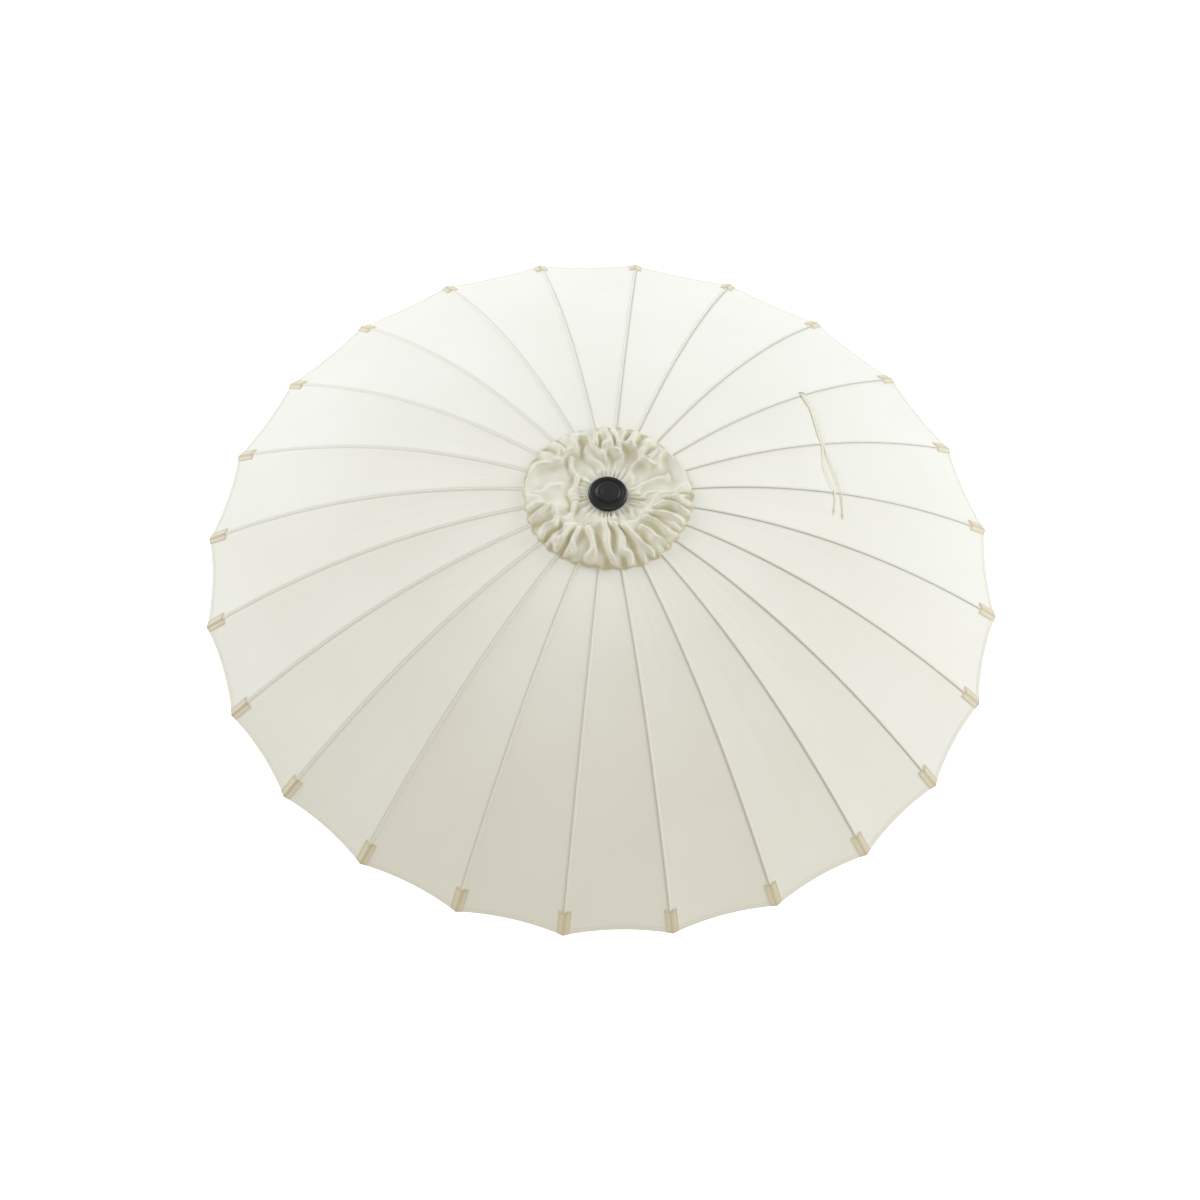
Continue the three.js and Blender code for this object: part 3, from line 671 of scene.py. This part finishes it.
tree.links.new(raised.outputs["Normal"], shader.inputs["Normal"])
# Beige thread of the bartacks, matt and close set.
tack_thread, tree, shader = new_material("beige_polyester_thread", "#CDBF9E", Roughness=0.65)
mottled(tree, shader, "#D5C8A8", "#C2B392", 0.01, 0.0006, 0.00005)


def across_rib(radius, offset, raised):
    """Points on the cloth at a distance to the side of the first rib."""
    radius, offset = np.broadcast_arrays(np.asarray(radius, float), np.asarray(offset, float))
    return on_dome(radius, offset / (radius * math.sin(panel_half)), 1, raised)


seam_profile = np.array([(-0.0054, -0.0003), (-0.0052, 0.0013), (-0.0046, 0.0018), (-0.0016, 0.0018),
                         (0.0, 0.0026), (0.0016, 0.0016), (0.0044, 0.0011), (0.0050, 0.0006),
                         (0.0052, -0.0003)])
seam_rows = np.linspace(seam_start, seam_end, 90)
seam_rings = across_rib(seam_rows[:, None], seam_profile[None, :, 0],
                        np.broadcast_to(seam_profile[:, 1], (90, len(seam_profile))))
seam = outward(skin(seam_rings, felled_canvas))
seam_stitches = stitches([across_rib(seam_rows, -0.0034, 0.0019), across_rib(seam_rows, 0.0031, 0.0015)],
                         sewing_thread)

hem_shares = np.linspace(-1, 1, 45)
hem_profile = ((0.0, 0.0006), (0.0010, 0.0009), (0.0145, 0.0009), (0.0160, 0.0002), (0.0160, -0.0016),
               (0.0145, -0.0026), (0.0010, -0.0026), (-0.0008, -0.0016), (-0.0009, -0.0004))
rim_long = math.hypot(1, float(dome_slope(canopy_radius)))
hem_rings = np.stack([on_dome(canopy_radius - inwards / rim_long, hem_shares, 1, raised)
                      for inwards, raised in hem_profile], axis=1)
hem = outward(skin(hem_rings, felled_canvas))
hem = (hem[0], hem[1], felled_canvas, np.array(hem[3]) + (0, 0.006))
hem_stitches = stitches([on_dome(canopy_radius - inwards / rim_long, hem_shares, 1, 0.0011)
                         for inwards in (0.0035, 0.0135)], sewing_thread)

pocket_offsets = np.linspace(-1, 1, 15)
pocket_rings = []
for inwards in (*np.linspace(pocket_length, 0.004, 12), 0.001, -0.0012):
    swell = 0.0022 * np.exp(-(pocket_offsets * pocket_half / 0.0048) ** 2)
    end = min(1.0, (pocket_length - inwards) / 0.004 + 0.25)
    close = 1.0 if inwards > 0 else 0.55
    above = (0.0022 + swell) * end * close
    below = -0.0040 - 3.4 * swell
    row = canopy_radius - inwards / rim_long
    offsets = pocket_offsets * pocket_half * (1.0 if inwards > 0 else 0.97)
    pocket_rings.append(np.concatenate([across_rib(row, offsets, above),
                                        across_rib(row, offsets[::-1], below[::-1] * close)]))
pocket = outward(skin(pocket_rings, pocket_webbing))
inner_row, outer_row = (canopy_radius - d / rim_long for d in (pocket_length - 0.004, 0.005))
frame_of_tacks = [across_rib(np.linspace(inner_row, outer_row, 12), s * (pocket_half - 0.0025), 0.0025)
                  for s in (-1, 1)]
frame_of_tacks += [across_rib(row, np.linspace(-1, 1, 13) * (pocket_half - 0.0025),
                              0.0027 + 0.0022 * np.exp(-(np.linspace(-1, 1, 13) * 0.0185 / 0.0048) ** 2))
                   for row in (inner_row, inner_row + 0.0035, outer_row)]
pocket_stitches = stitches(frame_of_tacks, tack_thread, 0.0034, 0.0032, 0.0010)

# Loops of tape under the seam tie the cloth to the rib at four places.
loop_profile = [(0.0052, -0.0012), (0.0040, -0.0050), (0.0024, -0.0084), (0.0, -0.0094), (-0.0024, -0.0084),
                (-0.0040, -0.0050), (-0.0052, -0.0012)]
loop_inner = [(0.82 * y, -0.0012 + 0.86 * (z + 0.0012)) for y, z in reversed(loop_profile)]
loops = []
for radius in (0.330, 0.480, 0.780, 1.000):
    steps = radius + np.linspace(-0.007, 0.007, 4)
    ring = np.array(loop_profile + loop_inner)
    loops.append(outward(skin(across_rib(steps[:, None], ring[None, :, 0],
                                         np.broadcast_to(ring[:, 1], (4, len(ring)))), pocket_webbing)))

for number in range(1, rib_count + 1):
    body = f"rib_{number:02d}"
    rib_loops = piece(f"rib_loops_{number:02d}", *(turned(loop, number) for loop in loops))
    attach(rib_loops, body)
    panel_seam = piece(f"panel_seam_{number:02d}", turned(seam, number), turned(seam_stitches, number))
    panel_hem = piece(f"panel_hem_{number:02d}", turned(hem, number), turned(hem_stitches, number))
    tip_pocket = piece(f"tip_pocket_{number:02d}", turned(pocket, number), turned(pocket_stitches, number))
    for made, keep in ((panel_seam, None), (panel_hem, lengths[-1][3]), (tip_pocket, 0.6)):
        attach(made, body)
        if keep:
            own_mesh(made)


# ---- Tie ------------------------------------------------------------------------------
# Two limp cotton tapes, 6 mm wide and about 0.52 m long, tacked to a seam near the edge.
# They close the furled cloth, and lie loose on the open canopy. Each ends in a knot.
tape_width, tape_thick, tape_lift = 0.006, 0.0024, 0.0030
knot_at, knot_spread = 0.965, 0.008      # shares of the tape's length
tie_start = ((45, .846), (43.9, .842), (42.4, .838), (40.2, .831), (37.4, .814), (34.5, .797),
             (31.8, .784), (29.3, .775))
tie_outer = (*tie_start, (27.2, .770), (25.3, .768), (23.5, .768), (21.7, .767), (18.4, .767), (15.7, .768),
             (12.5, .767), (9.9, .765), (7.6, .762))
tie_inner = (*tie_start, (26.9, .764), (25.2, .757), (23.8, .752), (21.5, .746), (19.2, .744), (17.2, .746),
             (15.3, .750), (12.7, .751), (10.4, .745), (8.3, .738))


def flat_point(azimuth, radius):
    """A place on the plan, from degrees round the pole and metres from it."""
    return radius * math.cos(math.radians(azimuth)), radius * math.sin(math.radians(azimuth))


def lying(x, y, raised):
    """A point above the cloth's top at a place on the plan."""
    step = 2 * panel_half
    from_middle = (math.atan2(y, x) / step) % 1 - 0.5
    radius = math.hypot(x, y) * math.cos(from_middle * step) / math.cos(panel_half)
    near = 1 - 2 * abs(from_middle)
    return (x, y, float(dome_level(radius)) - panel_sag * (1 - (1 - near) ** 2)
            + raised * float(np.hypot(1, dome_slope(radius))))


def eased(points, fineness):
    """A smooth line through points."""
    points = [np.array(p, float) for p in points]
    points = [2 * points[0] - points[1], *points, 2 * points[-1] - points[-2]]
    line = []
    for a, b, c, d in zip(points, points[1:], points[2:], points[3:]):
        for t in np.linspace(0, 1, fineness, endpoint=False):
            line.append(0.5 * (2 * b + (c - a) * t + (2 * a - 5 * b + 4 * c - d) * t * t
                               + (3 * b - a - 3 * c + d) * t ** 3))
    return np.array([*line, points[-2]])


def tape(route, sideways, wander):
    """A flat tape along a route on the cloth: its rings, and the line down its middle."""
    plan = eased([flat_point(*place) for place in route], 7)
    ahead = np.gradient(plan, axis=0)
    ahead /= np.linalg.norm(ahead, axis=1)[:, None]
    across = np.stack([-ahead[:, 1], ahead[:, 0]], axis=1)
    along = np.linspace(0, 1, len(plan))
    plan = plan + across * (sideways + wander * np.sin(along * 19) * along)[:, None]
    middle = np.array([lying(x, y, tape_lift + 0.0012 * (1 + math.sin(9 * t + wander * 900)))
                       for (x, y), t in zip(plan, along)])
    rings = []
    for i, centre in enumerate(middle):
        roll = 0.35 * math.sin(7 * along[i] + sideways * 900)
        side_way = np.array([*across[i], 0])
        up_way = np.cross([*ahead[i], 0], side_way)
        knot = math.exp(-((along[i] - knot_at) / knot_spread) ** 2)
        wide = tape_width / 2 * (1 + 0.35 * knot)
        thick = tape_thick / 2 * (1 + 1.9 * knot)
        rings.append([centre + (side_way * math.cos(roll) + up_way * math.sin(roll)) * math.cos(a) * wide
                      + (up_way * math.cos(roll) - side_way * math.sin(roll)) * math.sin(a) * thick
                      + np.array([0, 0, 0.0012 * knot])
                      for a in np.linspace(0, 2 * math.pi, 12, endpoint=False)])
    return rings, middle


# Bleached cotton tape, woven in a fine herringbone, matt and a little creamy.
cotton_tape, tree, shader = new_material("woven_cotton_tape", "#F3F1DC", Roughness=0.88, Sheen_Weight=0.2)
cut = add(tree, "ShaderNodeUVMap", uv_map="cut")
bias = add(tree, "ShaderNodeTexWave", {"Vector": cut.outputs["UV"], "Scale": 0.314 / 0.0012},
           bands_direction="DIAGONAL")
tone = add(tree, "ShaderNodeMixRGB", {"Fac": bias.outputs["Fac"], "Color1": linear("#E9E4C8"),
                                      "Color2": linear("#F8F7E8")})
raised = add(tree, "ShaderNodeBump", {"Height": bias.outputs["Fac"], "Strength": 0.5, "Distance": 0.0003})
tree.links.new(tone.outputs["Color"], shader.inputs["Base Color"])
tree.links.new(raised.outputs["Normal"], shader.inputs["Normal"])

for name, route, sideways, wander in (("tie_outer", tie_outer, 0.0032, 0.0015),
                                      ("tie_inner", tie_inner, -0.0032, 0.002)):
    rings, middle = tape(route, sideways, wander)
    made = piece(name, outward(skin(rings, cotton_tape)))
    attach(made, "rib_04")
    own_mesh(made)
    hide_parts("tie")
    long = float(np.linalg.norm(np.diff(middle, axis=0), axis=1).sum())

# The bartack that holds both tapes: a block of close stitches over their ends.
tack_at = [np.array(lying(*flat_point(*place), 0.0052)) for place in
           ((45.35, 0.8500), (44.85, 0.8415))]
tack_across = np.cross(tack_at[1] - tack_at[0], (0, 0, 1))
tack_across /= np.linalg.norm(tack_across)
tack_rows = [[p + tack_across * w for w in np.linspace(-0.0065, 0.0065, 5)]
             for p in (tack_at[0] + (tack_at[1] - tack_at[0]) * t for t in np.linspace(0.1, 0.9, 6))]
# Grey polyester thread.
grey_thread, tree, shader = new_material("grey_polyester_thread", "#8C887A", Roughness=0.65)
mottled(tree, shader, "#979384", "#7C786B", 0.01, 0.0006, 0.00005)
tie_bartack = piece("tie_bartack", stitches(tack_rows, grey_thread, 0.0026, 0.0026, 0.0012))
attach(tie_bartack, "rib_04")


# ---- Crown ruffle ---------------------------------------------------------------------
# A puffed frill of the same canvas over the vent at the top: gathered into fine pleats
# under the finial, standing up in one winding fold, and gathered again at its outer edge,
# which is turned under. It is drawn rib by rib, and the part under the finial goes with the hub.
frill_radius, frill_inner, frill_centre = 0.272, 0.060, 0.0262
frill_columns = 20             # across each rib's share
frill_pleats = 34
collar_pleats = 31             # the finer pleats beside the finial
frill_canvas_thickness = 0.0011
# The winding crest of the fold, as azimuth in degrees and radius in metres.
crest_route = ((117, .226), (130, .200), (147, .186), (153, .214), (158, .246), (172, .258),
               (-172, .254), (-166, .196), (-147, .168), (-127, .162), (-114, .148), (-106, .108),
               (-84, .098), (-64, .116), (-34, .133), (-14, .132), (-1, .146), (8, .200),
               (16, .250), (31, .262), (46, .244), (42, .190), (52, .165), (66, .186), (79, .190),
               (84, .158), (92, .166), (100, .134), (108, .146), (113, .190))
# Single folds that run from the crest to the edge: two ends, height and half width.
fold_routes = ((-103, .150, -97, .250, .026, .012), (-91, .118, -82, .246, .027, .010),
               (-76, .124, -70, .252, .022, .009), (-62, .140, -52, .254, .026, .012),
               (-47, .160, -41, .256, .018, .008), (-34, .150, -29, .258, .021, .009),
               (-21, .160, -17, .260, .019, .008), (-9, .165, -5, .262, .021, .009),
               (2, .200, 5, .262, .016, .007), (-117, .178, -112, .250, .021, .009),
               (-130, .180, -123, .256, .023, .011), (-143, .182, -138, .258, .020, .009),
               (-157, .196, -153, .262, .022, .009), (177, .222, 175, .266, .014, .008),
               (163, .110, 160, .225, .013, .013), (-178, .105, -172, .235, .010, .012),
               (140, .206, 137, .264, .019, .010), (127, .212, 126, .264, .015, .008),
               (118, .105, 122, .195, .012, .010), (106, .180, 107, .262, .020, .009),
               (96, .172, 96, .262, .022, .009), (86, .178, 85, .264, .018, .008),
               (74, .196, 73, .264, .021, .009), (62, .180, 60, .262, .022, .009),
               (51, .190, 49, .252, .016, .008), (24, .110, 22, .235, .015, .010),
               (10, .100, 9, .180, .011, .009), (-4, .095, -3, .140, .010, .008),
               (36, .100, 40, .200, .013, .010))
# Softer folds that cross the hollow between the crest and the finial.
hollow_routes = ((138, .168, 158, .114, .017, .010), (158, .114, -152, .116, .017, .010),
                 (-152, .116, -134, .156, .015, .010), (4, .078, 8, .165, .011, .008),
                 (20, .080, 26, .200, .011, .010), (-14, .074, -9, .150, .009, .007),
                 (-40, .072, -38, .118, .010, .008), (46, .080, 56, .150, .010, .009),
                 (172, .150, -176, .225, .009, .014), (75, .080, 80, .150, .009, .008),
                 (-70, .070, -74, .110, .008, .007), (110, .085, 118, .180, .011, .010))


def crest_line():
    """The winding crest as a smooth closed line."""
    points = [flat_point(*p) for p in crest_route]
    looped = [*points[-2:], *points, *points[:2]]
    line = eased(looped, 12)
    return line[24:24 + 12 * len(points)]


def off_stretch(x, y, ax, ay, bx, by):
    """Distances from a straight stretch between two places on the plan."""
    dx, dy = bx - ax, by - ay
    t = np.clip(((x - ax) * dx + (y - ay) * dy) / (dx * dx + dy * dy), 0, 1)
    return np.hypot(x - ax - t * dx, y - ay - t * dy)


def folds(routes, x, y):
    """Single rounded folds along straight routes, each with a shallow valley on both sides."""
    total = np.zeros(x.shape)
    for a0, r0, a1, r1, high, half in routes:
        off = off_stretch(x, y, *flat_point(a0, r0), *flat_point(a1, r1))
        total += high * (np.exp(-(off / half) ** 2) - 0.35 * np.exp(-(off / (2.1 * half)) ** 2))
    return total


def frill_height(x, y):
    """How far the frill's top stands above the cloth."""
    radius, azimuth = np.hypot(x, y), np.arctan2(y, x)
    x, y = (x + 0.0065 * np.sin(61 * y + 2 * np.sin(37 * x)) + 0.0035 * np.sin(97 * x + 55 * y + 1.3),
            y + 0.0065 * np.sin(57 * x + 2 * np.sin(41 * y) + 1.7) + 0.0035 * np.sin(89 * y - 63 * x))
    crest = crest_line()
    after = np.roll(crest, -1, axis=0)
    nearest = np.full(x.shape, 9.0)
    inside = np.zeros(x.shape, bool)
    for (ax, ay), (bx, by) in zip(crest, after):
        nearest = np.minimum(nearest, off_stretch(x, y, ax, ay, bx, by))
        if ay != by:
            inside ^= ((ay > y) != (by > y)) & (x < ax + (y - ay) / (by - ay) * (bx - ax))
    signed = np.where(inside, -nearest, nearest)
    waist = np.clip((radius - frill_inner) / 0.03, 0, 1)
    outer = np.clip((frill_radius - radius) / 0.050, 0, 1)
    puff = 0.009 + 0.022 * np.sin(np.clip(outer, 0, 1) * math.pi / 2) ** 1.3
    turns = frill_pleats * azimuth + 2.2 * np.sin(3 * azimuth + 0.7) + 1.7 * np.sin(7 * azimuth + 2.0)
    gathers = 1 - np.abs(np.sin(turns / 2)) ** 1.6
    edge = np.clip((radius - 0.172) / 0.07, 0, 1)
    size = 0.75 + 0.35 * np.sin(5 * azimuth + 1.0) + 0.2 * np.sin(11 * azimuth)
    puff = puff - 0.0125 * edge * gathers * size
    puff = puff + folds(fold_routes, x, y)
    bowl = 0.0045 + 0.006 * np.clip((radius - 0.075) / 0.1, 0, 1)
    bowl = bowl + 0.006 * np.exp(-(nearest / 0.030) ** 2) + 0.8 * folds(hollow_routes, x, y) * waist
    share = np.clip(signed / 0.020 + 0.35, 0, 1)
    share = share * share * (3 - 2 * share)
    height = bowl * (1 - share) + puff * share
    sharp = np.exp(-np.abs(signed) / 0.0085)
    height = height + (0.014 + 0.005 * np.sin(9 * azimuth)) * sharp * outer
    wave = np.sin(collar_pleats * azimuth + 2.4 * np.sin(4 * azimuth) + 1.1 * np.sin(9 * azimuth + 1))
    reach = np.clip((radius - 0.060) / 0.012, 0.35, 1)
    reach = reach * np.exp(-(np.clip(radius - 0.070, 0, None) / 0.036) ** 2)
    fine = 0.0046 * (1 - (0.5 - 0.5 * wave) ** 1.8 * 1.5) * reach * (0.8 + 0.45 * np.sin(5 * azimuth + 2))
    height = height + fine
    return np.maximum(height * waist + (0.0030 + 0.4 * fine) * (1 - waist), 0.0016)


def frill_floor(radius):
    """Level of the cloth that the frill lies on."""
    return dome_level(radius) + hub_rise(radius)


def frill_grid(azimuths, radii):
    """Top points of the frill on a grid, its edge wavering a little in and out."""
    radius, azimuth = np.meshgrid(radii, azimuths, indexing="ij")
    share = np.clip((radius - 0.20) / (frill_radius - 0.20), 0, 1)
    waver = (0.0035 * np.sin(frill_pleats * azimuth + 2.2 * np.sin(3 * azimuth + 0.7) + 1.2)
             + 0.004 * np.sin(5 * azimuth + 0.5) - 0.004)
    radius = radius + waver * share
    x, y = radius * np.cos(azimuth), radius * np.sin(azimuth)
    settle = np.clip(frill_radius - np.meshgrid(radii, azimuths, indexing="ij")[0], 0, None)
    high = np.minimum(frill_height(x, y), 0.0014 + 0.19 * settle ** 0.5)
    lean = np.clip(high - 0.012, 0, 0.03) * 0.28
    x, y = x * (1 + lean / radius * 0.6), y * (1 + lean / radius * 0.6)
    return np.stack([x, y, frill_floor(radius) + high], axis=-1)


# The canvas again, loosely gathered, with painted shade darkening it deep in its folds, and softer at its
# edges.
ruffle_canvas, tree, shader = new_material("gathered_polyester_canvas", "#EAE8DB", Roughness=0.78,
                                           Sheen_Weight=0.15, Sheen_Roughness=0.5)
place = add(tree, "ShaderNodeTexCoord")
drift = add(tree, "ShaderNodeTexNoise", {"Vector": place.outputs["Object"], "Scale": 14.0, "Detail": 4.0})
tone = add(tree, "ShaderNodeMixRGB", {"Fac": drift.outputs["Fac"], "Color1": linear("#EBEADD"),
                                      "Color2": linear("#E0DDCB")})
cut = add(tree, "ShaderNodeUVMap", uv_map="cut")
warp = add(tree, "ShaderNodeTexWave", {"Vector": cut.outputs["UV"], "Scale": 0.314 / thread_spacing},
           bands_direction="X")
weft = add(tree, "ShaderNodeTexWave", {"Vector": cut.outputs["UV"], "Scale": 0.314 / thread_spacing},
           bands_direction="Y")
weave = add(tree, "ShaderNodeMath", {0: warp.outputs["Fac"], 1: weft.outputs["Fac"]}, operation="MULTIPLY")
raised = add(tree, "ShaderNodeBump", {"Height": weave.outputs["Value"], "Strength": 0.25, "Distance": 0.0003})
tree.links.new(raised.outputs["Normal"], shader.inputs["Normal"])
# Painted shade: the colour darkens to a warm beige where a point lies deep in a fold.
fold_shade_node = add(tree, "ShaderNodeAttribute", attribute_name="painted_fold_shade")
shaded = add(tree, "ShaderNodeMixRGB", {"Fac": fold_shade_node.outputs["Fac"], "Color1": tone.outputs["Color"],
                                        "Color2": linear("#C9C09E")})
tree.links.new(shaded.outputs["Color"], shader.inputs["Base Color"])

frill_count = frill_columns * rib_count
frill_azimuths = (np.arange(frill_count) - frill_columns // 2) * 2 * math.pi / frill_count
frill_radii = np.concatenate([np.linspace(frill_centre, frill_inner, 9)[:-1],
                              np.linspace(frill_inner, frill_radius, 74)])
frill_top = frill_grid(frill_azimuths, frill_radii)
around_z = np.roll(frill_top, -1, axis=1) - np.roll(frill_top, 1, axis=1)
out_z = np.gradient(frill_top, axis=0)
frill_normal = np.cross(out_z, around_z)
frill_normal /= np.linalg.norm(frill_normal, axis=2)[..., None]
frill_under = frill_top - frill_normal * frill_canvas_thickness
frill_under[..., 2] = np.maximum(frill_under[..., 2],
                                 frill_floor(np.hypot(frill_under[..., 0], frill_under[..., 1])) + 0.0003)
# Painted shade for the folds: how far each point lies below its blurred surroundings.
blur = frill_top[..., 2] - frill_floor(np.hypot(frill_top[..., 0], frill_top[..., 1]))
wide_blur = blur.copy()
for _ in range(60):
    wide_blur = (np.roll(wide_blur, 1, axis=1) + np.roll(wide_blur, -1, axis=1) + 2 * wide_blur) / 4
    padded_blur = np.concatenate([wide_blur[:1], wide_blur, wide_blur[-1:]])
    wide_blur = (padded_blur[:-2] + padded_blur[2:] + 2 * padded_blur[1:-1]) / 4
frill_fold_shade = np.clip((wide_blur - blur) / 0.006, 0, 1) ** 1.1 * 0.9
cut_grid = np.stack(np.broadcast_arrays(frill_radii[:, None], frill_azimuths[None, :] * 0.2), axis=-1)
start_row = 8                  # the collar ends and the shares of the ribs start here


def frill_piece(name, rows, columns):
    """Part of the frill as one closed sheet, with painted shade by how deep each point lies in a fold."""
    top = frill_top[rows][:, columns]
    part = cloth_sheet(top, frill_under[rows][:, columns], cut_grid[rows][:, columns], ruffle_canvas)
    made = piece(name, part)
    fold_shade_values = frill_fold_shade[rows][:, columns].ravel()
    made.data.attributes.new("painted_fold_shade", "FLOAT", "POINT").data.foreach_set(
        "value", np.concatenate([fold_shade_values, fold_shade_values]).astype(np.float32))
    edges = np.linalg.norm(np.diff(top, axis=0), axis=2).mean(1).sum()
    breadth = np.linalg.norm(np.diff(top, axis=1), axis=2).sum(1)
    return made, float(edges), float(breadth.max()), float(breadth.mean())


for number in range(1, rib_count + 1):
    columns = (np.arange(frill_columns + 1) + frill_columns * (number - 1)) % frill_count
    made, long, wide, usual = frill_piece(f"crown_ruffle_{number:02d}", slice(start_row, None), columns)
    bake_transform(made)
    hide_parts("crown_ruffle")

# The part under the finial stays with the hub.
collar_columns = np.arange(frill_count + 1) % frill_count
made, long, wide, usual = frill_piece("crown_ruffle_collar", slice(0, start_row + 1), collar_columns)
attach(made, "head")
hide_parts("crown_ruffle")


# ---- Finial ---------------------------------------------------------------------------
# The cap that screws down on the crown: one black moulded disc with a bevelled shoulder
# and a stepped middle, on a stem that drops into the top of the pole.
finial_low, finial_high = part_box("finial")
finial_radius = finial_high.x
stem_radius = 0.010
brim_level = finial_high.z - 0.024      # underside of the disc
cap_profile = ((0.0, finial_low.z), (stem_radius - 0.0012, finial_low.z),
               (stem_radius, finial_low.z + 0.0012),
               (stem_radius, brim_level - 0.003), (stem_radius + 0.003, brim_level),
               (finial_radius - 0.0022, brim_level), (finial_radius - 0.0006, brim_level + 0.0007),
               (finial_radius, brim_level + 0.0024), (finial_radius, brim_level + 0.0125),
               (finial_radius - 0.0006, brim_level + 0.0142), (finial_radius - 0.0050, brim_level + 0.0186),
               (finial_radius - 0.0064, brim_level + 0.0190), (finial_radius - 0.0128, brim_level + 0.0190),
               (finial_radius - 0.0140, brim_level + 0.0184), (finial_radius - 0.0146, brim_level + 0.0160),
               (finial_radius - 0.0160, brim_level + 0.0152), (0.0400, brim_level + 0.0156),
               (0.0388, brim_level + 0.0164), (0.0382, brim_level + 0.0206), (0.0370, brim_level + 0.0218),
               (0.0260, brim_level + 0.0229), (0.0245, brim_level + 0.0224), (0.0232, brim_level + 0.0224),
               (0.0218, brim_level + 0.0232), (0.0110, brim_level + 0.0238), (0.0, brim_level + 0.0240))


def lathed(profile, around, material):
    """A closed round part about the vertical axis, from (radius, level) pairs."""
    middle = [p for p in profile if p[0] > 0]
    points = [(r * math.cos(a), r * math.sin(a), z) for r, z in middle
              for a in np.linspace(0, 2 * math.pi, around, endpoint=False)]
    faces = [(i * around + j, i * around + (j + 1) % around, (i + 1) * around + (j + 1) % around,
              (i + 1) * around + j) for i in range(len(middle) - 1) for j in range(around)]
    low, high = len(points), len(points) + 1
    points += [(0, 0, profile[0][1]), (0, 0, profile[-1][1])]
    last = (len(middle) - 1) * around
    faces += [(low, (j + 1) % around, j) for j in range(around)]
    faces += [(high, last + j, last + (j + 1) % around) for j in range(around)]
    return outward((points, faces, material))


# Moulded ABS, black, satin, with a faint spark grain and a few rubbed spots.
satin_abs, tree, shader = new_material("moulded_abs", "#0E0F0F", Roughness=0.42)
mottled(tree, shader, "#0B0C0C", "#131414", 0.03, 0.0012, 0.0001, spread=0.1)
made = piece("finial_cap", lathed(cap_profile, 96, satin_abs))
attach(made, "finial")
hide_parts("finial")
